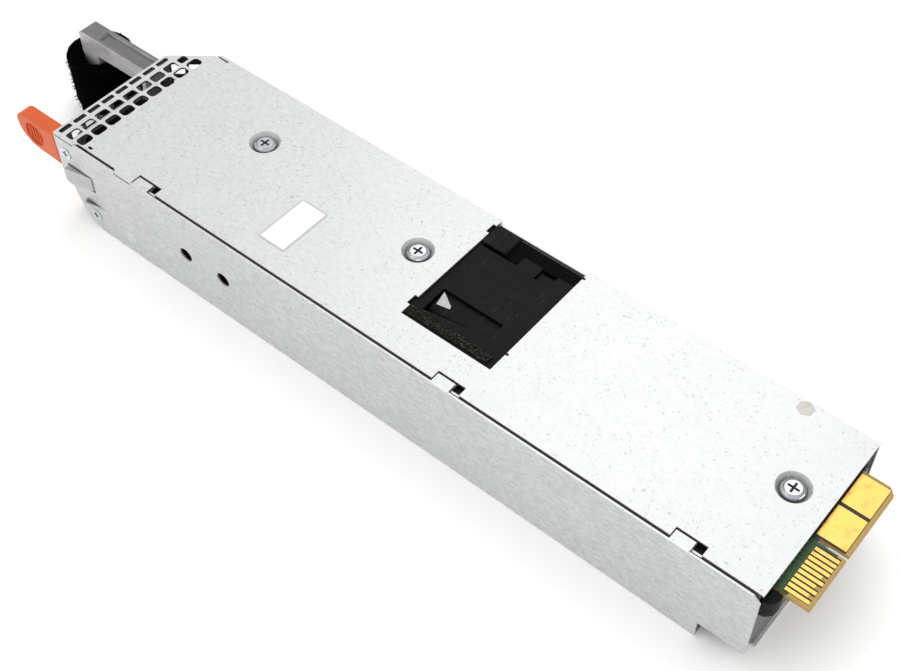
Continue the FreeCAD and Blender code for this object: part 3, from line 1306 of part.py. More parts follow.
def make_components():
    """Parts soldered under the board, from the mains side to the output side."""
    cores = []
    windings = []
    for middle in ("choke_one", "choke_two"):
        start = f"({FRONT} + {middle} - winding_thick - choke_high / 2)"
        core, winding = toroid("choke_x", start, "choke_radius", "choke_inner", "choke_high", 18)
        cores.append(core)
        windings.append(winding)
    finish(group(*cores), "common_mode_cores")
    finish(group(*windings), "common_mode_windings")
    bay = f"({WINDOW_REAR} + bay_gap)"
    core, winding = toroid(
        f"({NEAR} - boost_side)", bay, "boost_radius", "boost_inner", "boost_high", 20)
    finish(group(core, winding), "boost_choke")
    films = []
    for step in range(2):
        films.append(box(
            ("film_cap_x - film_cap_wide / 2", f"{FRONT} + film_cap_front + {step} * film_cap_pitch",
             f"{BOARD_LOW} - film_cap_high"), ("film_cap_wide", "film_cap_long", "film_cap_high")))
    finish(group(*films), "film_capacitors")
    fuse_z = f"({BOARD_LOW} - fuse_radius - 0.6)"
    tube = rod(("fuse_x", f"{FRONT} + fuse_front", fuse_z), "fuse_radius - 0.4", "fuse_long", "y")
    caps = []
    for start in ("0", "fuse_long - 5"):
        caps.append(rod(("fuse_x", f"{FRONT} + fuse_front + {start}", fuse_z), "fuse_radius", "5", "y"))
        caps.append(box(("fuse_x - lead_radius", f"{FRONT} + fuse_front + {start} + 2", fuse_z),
                        ("2 * lead_radius", "1", f"{BOARD_LOW} - {fuse_z}")))
    finish(join(tube, *caps), "line_fuse")
    disc_z = f"({BOARD_LOW} - varistor_radius - 1.5)"
    disc = rod(("varistor_x", f"{FRONT} + varistor_front", disc_z), "varistor_radius", "varistor_thick", "y")
    legs = [box((f"varistor_x {side} 3.5", f"{FRONT} + varistor_front + 1.6", disc_z),
                ("2 * lead_radius", "2 * lead_radius", f"{BOARD_LOW} - {disc_z}")) for side in ("-", "+")]
    finish(join(disc, *legs), "varistor")
    heat_sink("sink_x", f"({FRONT} + sink_front)", SINK_LONG, "sink_fin", "primary_heatsink")
    face = "(sink_x + sink_thick)"
    first = f"({FRONT} + sink_front + package_start)"
    wide = f"({PACKAGE_PITCH} - package_gap)"
    devices = [package(face, f"({first} + {step} * {PACKAGE_PITCH})", "package_thick", wide)
               for step in range(3)]
    finish(group(*devices), "primary_transistors")
    finish(package(face, f"({first} + 3 * {PACKAGE_PITCH})", "bridge_thick", "bridge_wide"),
           "bridge_rectifier")
    bulk_at = (f"{FAR} + bulk_side", bay, f"{BOARD_LOW} - bulk_radius")
    finish(rod(bulk_at, "bulk_radius", "bulk_long", "y"), "bulk_capacitor")
    core_low = f"({BOARD_LOW} - core_high)"
    core_front = f"({REAR} - core_back)"
    middle = f"({core_front} + core_long / 2)"
    shell = box(
        ("core_x - core_wide / 2", core_front, core_low), ("core_wide", "core_long", "core_high"))
    window = box(("core_x - core_wide / 2 + core_leg", f"{core_front} - 1", f"{core_low} + core_leg"),
                 ("core_wide - 2 * core_leg", "core_long + 2", "core_high - 2 * core_leg"))
    post = rod(("core_x", middle, f"{core_low} + 1"), "0.5 * bobbin_radius", "core_high - 2")
    finish(join(cut(shell, window), post), "transformer_core")
    coil = cut(
        rod(("core_x", middle, f"{core_low} + core_leg"), "bobbin_radius", "core_high - 2 * core_leg"),
        rod(("core_x", middle, core_low), "0.5 * bobbin_radius", "core_high"))
    finish(coil, "transformer_winding")
    out_sink_x = f"({FAR} + out_sink_side)"
    out_sink_front = f"({REAR} - out_sink_back)"
    heat_sink(out_sink_x, out_sink_front, "out_sink_long", "out_sink_fin", "secondary_heatsink")
    first = f"({out_sink_front} + out_package_gap / 2)"
    wide = "(out_package_pitch - out_package_gap)"
    devices = [package(f"({out_sink_x} + sink_thick)", f"({first} + {step} * out_package_pitch)",
                       "bridge_thick", wide) for step in range(3)]
    finish(group(*devices), "secondary_transistors")
    choke_at = (
        "out_choke_x - out_choke_wide / 2", f"{REAR} - out_choke_back", f"{BOARD_LOW} - out_choke_high")
    finish(box(choke_at, ("out_choke_wide", "out_choke_long", "out_choke_high")), "output_choke")
    cans = []
    rows = (
        ("out_cap_x - out_cap_pitch", "out_cap_single", 1),
        ("out_cap_x", "out_cap_row", 3),
        ("out_cap_x + 1.2 * out_cap_pitch", "out_cap_last", 2),
    )
    for first, back, count in rows:
        for step in range(count):
            cans.append(rod(
                (f"{first} + {step} * out_cap_pitch", f"{REAR} - {back}", f"{BOARD_LOW} - out_cap_high"),
                "out_cap_radius", "out_cap_high"))
    finish(group(*cans), "output_capacitors")
    card_x = f"({NEAR} - card_side)"
    card_z = f"({BOARD_LOW} - card_high)"
    card_front = f"({REAR} - card_back)"
    card = box((card_x, card_front, card_z), ("card_thick", "card_long", "card_high"))
    chips = [box((f"{card_x} - chip_thick", f"{card_front} + 4 + {step} * chip_pitch", f"{card_z} + 9"),
                 ("chip_thick", "chip_wide", "chip_wide")) for step in range(3)]
    finish(join(card, *chips), "control_board")
    finish(box((f"{FAR} + 3", f"{FRONT} + 26", "gauge"),
               ("case_width - 9", "case_length - 36", "fan_lift")), "bottom_insulator")


make_tray()
make_cover()
make_cover_hardware()
make_front_panel()
make_inlet()
make_latch()
make_handle()
make_board()
make_cradle()
make_fan()
make_components()
doc.recompute()

failed = [item for item in doc.Objects if "Invalid" in item.State or "Error" in item.State]
for item in failed:
    print(f"{item.Label} of {[user.Label for user in item.InList]}: {item.State}")
if failed:
    raise RuntimeError(f"{len(failed)} objects could not be computed")
for piece in PIECES:
    if piece.Shape.isNull() or not piece.Shape.isValid():
        raise RuntimeError(f"{piece.Label} has no valid shape")

os.makedirs("parts", exist_ok=True)
for piece in PIECES:
    piece.Shape.exportStep(f"parts/{piece.Label}.step")
print(f"{len(PIECES)} pieces written")
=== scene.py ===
"""Dresses the hot swap server power supply and stands it in a plain pale studio."""

import json
import logging
import math
import random
from dataclasses import dataclass, field
from enum import Enum
from typing import Callable

import bmesh
import bpy
from mathutils import Matrix, Vector

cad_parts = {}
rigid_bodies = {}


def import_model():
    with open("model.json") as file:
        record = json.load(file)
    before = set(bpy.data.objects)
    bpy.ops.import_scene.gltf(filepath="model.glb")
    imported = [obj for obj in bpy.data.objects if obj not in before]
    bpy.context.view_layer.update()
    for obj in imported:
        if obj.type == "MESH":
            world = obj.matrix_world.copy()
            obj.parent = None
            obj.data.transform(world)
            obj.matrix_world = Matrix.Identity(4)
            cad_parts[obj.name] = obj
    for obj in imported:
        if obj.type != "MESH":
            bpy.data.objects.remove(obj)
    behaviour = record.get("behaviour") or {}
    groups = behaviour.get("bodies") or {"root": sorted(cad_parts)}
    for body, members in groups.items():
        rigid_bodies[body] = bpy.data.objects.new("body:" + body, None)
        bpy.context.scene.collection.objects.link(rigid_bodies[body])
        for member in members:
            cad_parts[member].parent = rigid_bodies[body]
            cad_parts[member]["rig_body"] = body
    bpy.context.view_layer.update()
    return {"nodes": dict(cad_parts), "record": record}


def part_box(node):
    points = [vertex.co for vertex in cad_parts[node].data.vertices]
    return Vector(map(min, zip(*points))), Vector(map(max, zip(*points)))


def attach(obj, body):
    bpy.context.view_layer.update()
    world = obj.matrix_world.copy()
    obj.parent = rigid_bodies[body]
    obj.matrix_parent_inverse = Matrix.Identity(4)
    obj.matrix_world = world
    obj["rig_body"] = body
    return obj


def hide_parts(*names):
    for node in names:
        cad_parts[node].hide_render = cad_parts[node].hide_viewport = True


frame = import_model()
LOG = logging.getLogger("supply")
Colour = tuple[float, float, float]
Point = tuple[float, float, float]


class Axis(Enum):
    """An axis of the row frame."""

    X = 0
    Y = 1
    Z = 2

    def unit(self) -> Vector:
        """The axis as a unit vector."""
        return Vector([1.0 if i == self.value else 0.0 for i in range(3)])


class Signal:
    """A shader socket that takes part in Python expressions."""

    def __init__(self, paint: "Paint", socket: bpy.types.NodeSocket) -> None:
        """Wrap a socket.

        Args:
            paint: the builder that owns the socket's node tree.
            socket: the output socket.
        """
        self.paint = paint
        self.socket = socket

    def _maths(self, operation: str, *values: object) -> "Signal":
        """Add one Math node.

        Args:
            operation: the node's operation.
            values: its inputs, as signals or numbers.

        Returns:
            The node's output.
        """
        inputs = {i: value for i, value in enumerate(values)}
        return self.paint.node("ShaderNodeMath", {"operation": operation}, inputs)

    def __add__(self, other: object) -> "Signal":
        """Sum."""
        return self._maths("ADD", self, other)

    __radd__ = __add__

    def __mul__(self, other: object) -> "Signal":
        """Product."""
        return self._maths("MULTIPLY", self, other)

    __rmul__ = __mul__

    def __sub__(self, other: object) -> "Signal":
        """Difference."""
        return self._maths("SUBTRACT", self, other)

    def __rsub__(self, other: object) -> "Signal":
        """Difference from a number."""
        return self._maths("SUBTRACT", other, self)

    def __gt__(self, other: object) -> "Signal":
        """One where the signal is above a value, else nought."""
        return self._maths("GREATER_THAN", self, other)

    def __lt__(self, other: object) -> "Signal":
        """One where the signal is below a value, else nought."""
        return self._maths("LESS_THAN", self, other)

    def __abs__(self) -> "Signal":
        """Size without its sign."""
        return self._maths("ABSOLUTE", self)

    def most(self, other: object) -> "Signal":
        """The larger of two."""
        return self._maths("MAXIMUM", self, other)

    def least(self, other: object) -> "Signal":
        """The smaller of two."""
        return self._maths("MINIMUM", self, other)

    def fold(self, width: float) -> "Signal":
        """Rise and fall in turn between nought and a width."""
        return self._maths("PINGPONG", self, width)

    def ramp(self, low: float, high: float) -> "Signal":
        """Rise smoothly from nought to one.

        Args:
            low: the value where the rise starts.
            high: the value where it ends.

        Returns:
            The eased signal.
        """
        inputs = {"Value": self, "From Min": low, "From Max": high}
        return self.paint.node("ShaderNodeMapRange", {"interpolation_type": "SMOOTHSTEP"}, inputs, "Result")


class Paint:
    """Builds the node tree of one material."""

    def __init__(self, name: str) -> None:
        """Start a material.

        Args:
            name: the material's name.
        """
        self.material = bpy.data.materials.new(name)
        self.material.use_nodes = True
        self.tree = self.material.node_tree
        self.shader = next(n for n in self.tree.nodes if n.type == "BSDF_PRINCIPLED")
        self.place = self.node("ShaderNodeTexCoord", out="Object")

    def node(self, kind: str, settings: dict | None = None, inputs: dict | None = None,
             out: str | int = 0) -> Signal:
        """Add a node.

        Args:
            kind: the node's type.
            settings: its own properties, set first.
            inputs: values or signals by socket name or number.
            out: the output socket's name or number.

        Returns:
            The chosen output.
        """
        item = self.tree.nodes.new(kind)
        for key, value in (settings or {}).items():
            setattr(item, key, value)
        for key, value in (inputs or {}).items():
            self.feed(item.inputs[key], value)
        return Signal(self, item.outputs[out])

    def feed(self, socket: bpy.types.NodeSocket, value: object) -> None:
        """Link a signal to a socket, or set the socket's own value."""
        if isinstance(value, Signal):
            self.tree.links.new(value.socket, socket)
        elif isinstance(value, tuple) and len(value) == 3 and len(socket.default_value) == 4:
            socket.default_value = (*value, 1.0)
        else:
            socket.default_value = value

    def set(self, **values: object) -> None:
        """Set sockets of the surface shader. An underscore stands for a space."""
        for key, value in values.items():
            self.feed(self.shader.inputs[key.replace("_", " ").title().replace("Ior", "IOR")], value)

    def spread(self, scale: Point) -> Signal:
        """The object's own coordinates, stretched along each axis."""
        return self.node("ShaderNodeMapping", None, {"Vector": self.place, "Scale": scale})

    def along(self, axis: Axis) -> Signal:
        """One of the object's own coordinates, in metres."""
        return self.node("ShaderNodeSeparateXYZ", None, {"Vector": self.place}, axis.name)

    def facing(self, axis: Axis) -> Signal:
        """How far the surface faces along an axis, from minus one to one."""
        normal = self.node("ShaderNodeNewGeometry", out="Normal")
        return self.node("ShaderNodeSeparateXYZ", None, {"Vector": normal}, axis.name)

    def noise(self, size: float, detail: float = 2.0, stretch: Point = (1.0, 1.0, 1.0),
              roughness: float = 0.5) -> Signal:
        """Cloudy variation.

        Args:
            size: the size of a cloud in metres.
            detail: the number of finer layers.
            stretch: how often the pattern repeats along each axis.
            roughness: the share of the finer layers.

        Returns:
            A signal about one half.
        """
        where = self.spread(tuple(value / size for value in stretch))
        return self.node("ShaderNodeTexNoise", None, {
            "Vector": where, "Scale": 1.0, "Detail": detail, "Roughness": roughness}, "Fac")

    def cells(self, size: float, feature: str = "F1", out: str = "Distance",
              stretch: Point = (1.0, 1.0, 1.0)) -> Signal:
        """Crystal cells.

        Args:
            size: the size of a cell in metres.
            feature: the distance that is measured.
            out: the output that is wanted.
            stretch: how often the pattern repeats along each axis.

        Returns:
            The cell signal.
        """
        where = self.spread(tuple(value / size for value in stretch))
        return self.node("ShaderNodeTexVoronoi", {"feature": feature}, {"Vector": where, "Scale": 1.0}, out)

    def blend(self, share: Signal, low: object, high: object) -> Signal:
        """Mix two colours.

        Args:
            share: how much of the second colour shows.
            low: the first colour.
            high: the second colour.

        Returns:
            The mixed colour.
        """
        item = self.tree.nodes.new("ShaderNodeMix")
        item.data_type = "RGBA"
        self.feed(item.inputs["Factor"], share)
        self.feed(item.inputs[6], low)
        self.feed(item.inputs[7], high)
        return Signal(self, item.outputs[2])

    def relief(self, height: Signal, depth: float, strength: float = 1.0) -> Signal:
        """Turn a height into a normal.

        Args:
            height: the height, from nought to one.
            depth: the height of one, in metres.
            strength: the share of the effect.

        Returns:
            The normal.
        """
        return self.node("ShaderNodeBump", None, {
            "Height": height, "Distance": depth, "Strength": strength}, "Normal")


def tinted(colour: Colour, scale: float, lift: float = 0.0) -> Colour:
    """Scale and lift a colour, and hold it at one.

    Args:
        colour: the colour.
        scale: what each channel is multiplied by.
        lift: what is added after that.

    Returns:
        The changed colour.
    """
    return tuple(min(1.0, value * scale + lift) for value in colour)


@dataclass(frozen=True)
class Finish:
    """A surface's plain shader values. Each kind adds its own variation."""

    name: str
    colour: Colour = (0.5, 0.5, 0.5)
    roughness: float = 0.5
    metallic: float = 0.0

    def material(self) -> bpy.types.Material:
        """Make the material."""
        paint = Paint(self.name)
        paint.set(base_color=self.colour, roughness=self.roughness, metallic=self.metallic)
        self.vary(paint)
        return paint.material

    def vary(self, paint: Paint) -> None:
        """Add what changes over the surface. Each kind has its own way."""
        raise NotImplementedError


@dataclass(frozen=True)
class Galvanised(Finish):
    """Zinc coated sheet: soft crystal mottling, dark pinpricks, faint rolling lines and rubs, and painted
    light that makes the upward faces paler.

    The faces inside the case, those in the vents and the cover's cut edges get painted shade: a dark colour,
    less metal and more roughness.
    """

    crystal: float = 0.0021
    cloud: float = 0.02
    grain: float = 0.0013
    fleck: float = 0.00075
    patch: float = 0.011
    dot: float = 0.0011
    scratch: float = 0.0009
    floor: float = 0.0013
    roof: float = 0.0376
    rim: float = 0.0393
    wall: float = 0.0315
    skin: float = 0.0002
    mouth: float = -0.1436
    vented: float = -0.128
    calm: float = 0.42
    # Painted light: how far the upward faces are pushed towards the paler colour
    lift: float = 0.36
    pin_dark: float = 0.42
    shade_colour: Colour = (0.03, 0.03, 0.032)
    rubbed: Colour = (0.95, 0.95, 0.95)
    relief_deep: float = 0.00003

    def vary(self, paint: Paint) -> None:
        """Add crystals, flecks, lines and rubs, paint light on the upward faces and paint shade on the hidden
        faces.
        """
        upward = paint.facing(Axis.Z).ramp(0.5, 0.9)
        crystal = paint.node("ShaderNodeSeparateColor", None, {
            "Color": paint.cells(self.crystal, out="Color", stretch=(1.0, 0.6, 1.5))}, "Red")
        mottle = paint.noise(self.grain, 3.0, (1.0, 0.5, 1.25), 0.7).ramp(0.34, 0.66)
        depth = 0.8 - upward * self.calm
        tone = crystal * 0.16 + mottle * 0.85 + paint.noise(self.cloud, 4.0) * 0.36 - 0.32
        low, high = tinted(self.colour, 0.8), tinted(self.colour, 1.1)
        # Painted light: upward * lift makes the top paler than the sides
        body = paint.blend(tone * depth + upward * self.lift + 0.06, low, high)
        dark = self.pinpricks(paint)
        scratch = paint.noise(self.scratch, 1.0, (0.04, 0.9, 0.3)).ramp(0.71, 0.76)
        worn = paint.blend(scratch * 0.1, body, self.rubbed)
        outer = paint.blend(dark, worn, tinted(self.colour, self.pin_dark))
        vents = paint.along(Axis.Y) < self.vented
        inside = self.shaded_faces(paint, vents)
        # Painted shade: the hidden faces are blended towards a dark colour, more strongly in the vented end,
        # and below they get more roughness and less metal
        paint.set(base_color=paint.blend(inside * (0.8 + vents * 0.18), outer, self.shade_colour))
        paint.set(roughness=self.roughness + (crystal * 0.1 + mottle * 0.12 - 0.08) * depth + inside * 0.3)
        rise = mottle * 0.5 + crystal * 0.25 + paint.noise(0.0004, 2.0) * 0.35 - dark * 0.4
        paint.set(normal=paint.relief(rise, self.relief_deep, 0.5), metallic=self.metallic - inside * 0.4)

    def pinpricks(self, paint: Paint) -> Signal:
        """Dark flecks, thicker in patches, with a few darker dots."""
        fleck = paint.noise(self.fleck, 1.0, (1.0, 0.6, 1.0)).ramp(0.64, 0.72)
        patch = paint.noise(self.patch, 2.0).ramp(0.42, 0.6)
        dot = paint.noise(self.dot, 0.0).ramp(0.76, 0.79)
        return fleck * (0.1 + patch * 0.4) + dot * 0.5

    def shaded_faces(self, paint: Paint, vents: Signal) -> Signal:
        """Pick the faces that get painted shade: those inside the case, the walls' linings and the cut edges.

        Args:
            paint: the material's builder.
            vents: one in the vented end, else nought.

        Returns:
            One on a face with painted shade, else nought.
        """
        height, across = paint.along(Axis.Z), paint.along(Axis.X)
        middle = (across < self.wall) * (across > -self.wall)
        inside = (height > self.floor) * (height < self.roof) * middle * (paint.along(Axis.Y) > self.mouth)
        lining = (paint.facing(Axis.X) * across < -self.wall - self.skin) * (height > self.floor)
        inside = inside + lining * (height < self.rim)
        sunk = 1.0 - (1.0 - (paint.facing(Axis.Z) < 0.4)) * (1.0 - vents)
        return inside + middle * (height > self.roof) * (height < self.rim) * sunk


@dataclass(frozen=True)
class Plated(Finish):
    """Bright plated, tinned, gilded or rolled metal with turning marks and small stains."""

    mark: float = 0.0004
    stain: Colour = (0.45, 0.45, 0.44)

    def vary(self, paint: Paint) -> None:
        """Add fine marks and stains."""
        mark = paint.noise(self.mark, 3.0)
        stain = paint.noise(0.0022, 3.0).ramp(0.5, 0.72)
        paint.set(base_color=paint.blend(stain * 0.3, self.colour, self.stain))
        paint.set(roughness=self.roughness + mark * 0.12 + stain * 0.1 - 0.06)
        paint.set(normal=paint.relief(mark, 0.000012, 0.6))


@dataclass(frozen=True)
class Moulded(Finish):
    """Moulded plastic with a fine grain, rubs and dust in it."""

    grain: float = 0.00032
    dust: float = 0.0
    coat: float = 0.0
    shine: float = 0.5
    dust_colour: Colour = (0.55, 0.55, 0.53)

    def vary(self, paint: Paint) -> None:
        """Add the grain, flow clouds, rubs and dust."""
        grain = paint.noise(self.grain, 2.0)
        cloud = paint.noise(0.007, 3.0)
        rub = paint.noise(0.0016, 2.0, (0.16, 1.0, 1.0)).ramp(0.64, 0.74)
        dust = paint.noise(0.00035, 1.0).ramp(0.69, 0.75) * paint.noise(0.006, 2.0).ramp(0.5, 0.65)
        body = paint.blend(cloud, tinted(self.colour, 0.86), tinted(self.colour, 1.14, 0.002))
        rubbed = paint.blend(rub * 0.05, body, tinted(self.colour, 0.6, 0.2))
        paint.set(base_color=paint.blend(dust * self.dust, rubbed, self.dust_colour))
        paint.set(roughness=self.roughness + grain * 0.12 - rub * 0.1 - 0.05)
        paint.set(normal=paint.relief(grain, 0.00003, 0.5))
        paint.set(coat_weight=self.coat, coat_roughness=0.12, specular_ior_level=self.shine)


@dataclass(frozen=True)
class Smoked(Finish):
    """Clear grey plastic with a frosted surface and cloudy flow inside."""

    clear: float = 0.5
    index: float = 1.47
    top_shade_share: float = 0.86
    top_shade_scale: float = 0.22

    def vary(self, paint: Paint) -> None:
        """Let light through, cloud it and paint shade on the upward faces."""
        cloud = paint.noise(0.006, 4.0, (1.0, 0.45, 1.0))
        upward = paint.facing(Axis.Z).ramp(0.3, 0.9)
        shade = paint.blend(cloud.ramp(0.3, 0.7), tinted(self.colour, 0.74), tinted(self.colour, 1.2))
        # Painted shade: the upward faces are blended towards a much darker copy of the colour
        deep = tinted(self.colour, self.top_shade_scale)
        paint.set(base_color=paint.blend(upward * self.top_shade_share, shade, deep))
        paint.set(transmission_weight=self.clear, ior=self.index)
        paint.set(roughness=self.roughness + paint.noise(0.002, 3.0) * 0.12 - 0.06)
        paint.set(normal=paint.relief(paint.noise(0.0012, 2.0), 0.00002, 0.5))


@dataclass(frozen=True)
class Pile(Finish):
    """Hook and loop pile: short dark fibres in ribs."""

    rib: float = 0.0011

    def vary(self, paint: Paint) -> None:
        """Add tufts and ribs."""
        tuft = paint.noise(0.0005, 4.0, roughness=0.75)
        rib = paint.noise(self.rib, 2.0, (1.0, 1.0, 0.25))
        paint.set(base_color=paint.blend(tuft.ramp(0.45, 0.75), self.colour, tinted(self.colour, 3.2)))
        paint.set(normal=paint.relief(tuft * 0.7 + rib * 0.5, 0.0004, 0.9))
        paint.set(roughness=0.88 + tuft * 0.1, specular_ior_level=0.02)


@dataclass(frozen=True)
class Foam(Finish):
    """Open foam: pores with painted shade in them, and pale broken walls."""

    pore: float = 0.00055
    broken: Colour = (0.13, 0.127, 0.1)

    def vary(self, paint: Paint) -> None:
        """Add pores with painted shade, and speckles."""
        pore = paint.cells(self.pore).ramp(0.15, 0.75)
        speck = paint.noise(0.00038, 2.0).ramp(0.56, 0.68)
        # Painted shade in the pores: the pore pattern darkens the colour
        body = paint.blend(pore, self.colour, tinted(self.colour, 0.15))
        paint.set(base_color=paint.blend(speck, body, self.broken))
        paint.set(normal=paint.relief(pore, 0.0003), roughness=0.85 + speck * 0.1, specular_ior_level=0.1)


@dataclass(frozen=True)
class Label(Finish):
    """Blank paper label with a thin grey line printed round it."""

    centre: tuple[float, float] = (0.0, 0.0)
    half: tuple[float, float] = (0.01, 0.005)
    line: float = 0.0004
    inset: float = 0.00035
    ink: Colour = (0.3, 0.31, 0.32)

    def vary(self, paint: Paint) -> None:
        """Draw the line round the edge."""
        sides = []
        for axis, middle, half in zip((Axis.X, Axis.Y), self.centre, self.half):
            sides.append(abs(paint.along(axis) - middle) > half - self.inset - self.line)
        fibre = paint.noise(0.0005, 3.0)
        paper = paint.blend(fibre, tinted(self.colour, 0.98), self.colour)
        paint.set(base_color=paint.blend(sides[0].most(sides[1]) * 0.75, paper, self.ink))
        paint.set(roughness=self.roughness + fibre * 0.1 - 0.05, normal=paint.relief(fibre, 0.00001))


@dataclass(frozen=True)
class Laminate(Finish):
    """Circuit board: mask over copper tracks, painted shadow between the contacts, bare tab ends and edges.
    """

    bare: Colour = (0.47, 0.31, 0.1)
    signal_low: tuple[float, float] = (0.0, 0.0)
    signal_high: tuple[float, float] = (0.0, 0.0)
    power_low: tuple[float, float] = (0.0, 0.0)
    power_high: tuple[float, float] = (0.0, 0.0)
    margin: float = 0.00022
    pitch: float = 0.00177
    half: float = 0.000575
    shorter: float = 0.0013
    track: float = 0.0036
    lead_long: float = 0.004
    lead_share: float = 0.7
    frame_wide: float = 0.0006
    overlap: float = 0.00004
    shoulder: float = 0.0016
    print_start: float = -0.0008
    print_long: float = 0.0022
    print_back: float = 0.0012
    print_front: float = 0.0007
    shadow: Colour = (0.01, 0.012, 0.006)
    ink: Colour = (0.9, 0.92, 0.85)

    def vary(self, paint: Paint) -> None:
        """Add tracks, the painted shadow zones, the bare places and the printed line."""
        across, along = paint.along(Axis.X), paint.along(Axis.Y)
        divide = (self.power_high[0] + self.signal_low[0]) / 2
        runs = paint.cells(self.track, "DISTANCE_TO_EDGE", stretch=(1.0, 0.35, 1.0)).ramp(0.03, 0.1)
        light = tinted(self.colour, 1.9, 0.01)
        mask = paint.blend(runs * 0.4, light, self.colour)
        away = (across - self.signal_low[0] - self.half).fold(self.pitch / 2)
        signal, power = across > divide, across < divide
        leads = (away < self.half * self.lead_share) * signal * (along > self.power_low[1] - self.lead_long)
        mask = paint.blend(leads * 0.6, mask, light)
        # Painted shadow: the gaps between the signal contacts and a band round the wide contacts are blended
        # towards the shadow colour
        gap = signal * (along > self.signal_low[1]) * (away > self.half - self.overlap)
        shadow_zone = gap + power * (along > self.power_low[1] - self.frame_wide)
        mask = paint.blend(shadow_zone, mask, self.shadow)
        short_end = self.signal_high[1] - self.shorter
        lead_ends = (along > short_end) * (away < self.half)
        ends = signal * ((along > self.signal_high[1] + self.margin) + lead_ends)
        ends = ends + power * (along > self.power_high[1] + self.margin)
        sides = (across > self.signal_high[0] + self.margin) * (along > self.signal_low[1] + self.shoulder)
        sides = sides + (across < self.power_low[0] - self.margin) * (along > self.power_low[1])
        facing = paint.facing(Axis.Z)
        flank = 1.0 - abs(facing).ramp(0.3, 0.6)
        bare = (ends + sides + flank).least(1.0)
        weave = paint.noise(0.0007, 2.0, (1.0, 0.4, 1.0))
        tan = paint.blend(weave, tinted(self.bare, 0.7), self.bare)
        start, pads = self.signal_high[0] + self.print_start, self.power_low[1]
        line = (across > start) * (across < start + self.print_long) * (facing > 0.5)
        line = line * (along > pads - self.print_back) * (along < pads - self.print_front)
        marked = paint.blend(line, mask, self.ink)
        paint.set(base_color=paint.blend(bare, marked, tan), roughness=self.roughness + bare * 0.25)
        paint.set(normal=paint.relief(runs * 0.7 + weave * 0.3, 0.00003), specular_ior_level=0.35)


@dataclass(frozen=True)
class Lens(Finish):
    """Pale green diffusing lens."""

    clear: float = 0.55

    def vary(self, paint: Paint) -> None:
        """Let light through and frost it."""
        paint.set(transmission_weight=self.clear, normal=paint.relief(paint.noise(0.0005), 0.00003))


FINISHES: dict[str, Finish] = {
    "galvanised": Galvanised("galvanised_sheet", (0.575, 0.59, 0.58), 0.38, 0.5),
    "bright_steel": Plated("bright_plating", (0.45, 0.465, 0.49), 0.26, 1.0),
    "spring_steel": Plated("rolled_spring_steel", (0.47, 0.475, 0.47), 0.36, 1.0, 0.0009),
    "black_plastic": Moulded("black_moulding", (0.0045, 0.0043, 0.0056), 0.5, 0.0, 0.0003, 0.22, 0.0, 0.08),
    # A matter black whose darker colour is painted shade for the insert's ledge
    "painted_shade_ledge": Moulded("matt_ledge_with_painted_shade", (0.0016, 0.0015, 0.0022), 0.6, 0.0, 0.0003, 0.1, 0.0, 0.02),
    "foam_grey": Foam("speckled_foam", (0.03, 0.029, 0.024), 0.9),
    "smoke_plastic": Smoked("smoked_clear_moulding", (0.56, 0.54, 0.55), 0.3, 0.0, 0.3),
    "strap_fabric": Pile("hook_and_loop_pile", (0.0008, 0.0008, 0.0009), 0.95),
    "orange_plastic": Moulded("orange_moulding", (0.57, 0.088, 0.014), 0.42, 0.0, 0.0005, 0.06, 0.0, 0.3),
    "film_black": Moulded("insulating_film", (0.012, 0.012, 0.014), 0.35, 0.0, 0.002, 0.0, 0.0, 0.3),
    "gold_plate": Plated("gilded_contact", (0.69, 0.385, 0.1), 0.3, 1.0, 0.0006, (0.68, 0.33, 0.085)),
    "tin_plate": Plated("tinned_metal", (0.82, 0.82, 0.8), 0.3, 1.0),
    "lamp_clear": Lens("diffusing_lens", (0.6, 0.85, 0.6), 0.25),
    "wire_brown": Moulded("wire_insulation", (0.09, 0.035, 0.018), 0.4),
    "ferrite": Moulded("coated_ferrite", (0.05, 0.05, 0.052), 0.6, 0.0, 0.0005, 0.3),
    "copper": Plated("enamelled_winding", (0.72, 0.28, 0.1), 0.28, 0.85, 0.0005, (0.3, 0.09, 0.03)),
    "component_yellow": Moulded("yellow_casing", (0.72, 0.5, 0.06), 0.38, 0.0, 0.0006, 0.2, 0.15),
    "component_blue": Moulded("blue_dipped_coating", (0.02, 0.11, 0.42), 0.28, 0.0, 0.0012, 0.1, 0.3),
    "component_black": Moulded("black_epoxy", (0.028, 0.028, 0.031), 0.5, 0.0, 0.0003, 0.3),
    "fuse_ceramic": Moulded("ceramic_tube", (0.8, 0.77, 0.7), 0.25, 0.0, 0.0008, 0.1, 0.3),
    "aluminium": Plated("extruded_aluminium", (0.74, 0.75, 0.76), 0.34, 1.0, 0.0012),
    "recess": Plated("recess_shadow", (0.07, 0.07, 0.075), 0.6, 0.5, 0.0006, (0.03, 0.03, 0.03)),
    "pale_zinc": Plated("pale_zinc_screw", (0.62, 0.65, 0.69), 0.28, 1.0, 0.0006),
    # A darker copy of the spring steel, as painted shade for the clip
    "spring_steel_painted_shade": Plated("spring_steel_painted_shade", (0.24, 0.25, 0.26), 0.28, 1.0, 0.0012, (0.5, 0.5, 0.5)),
    "dull_stud": Plated("dull_stud", (0.5, 0.49, 0.45), 0.5, 0.4, 0.0008, (0.4, 0.39, 0.35)),
}


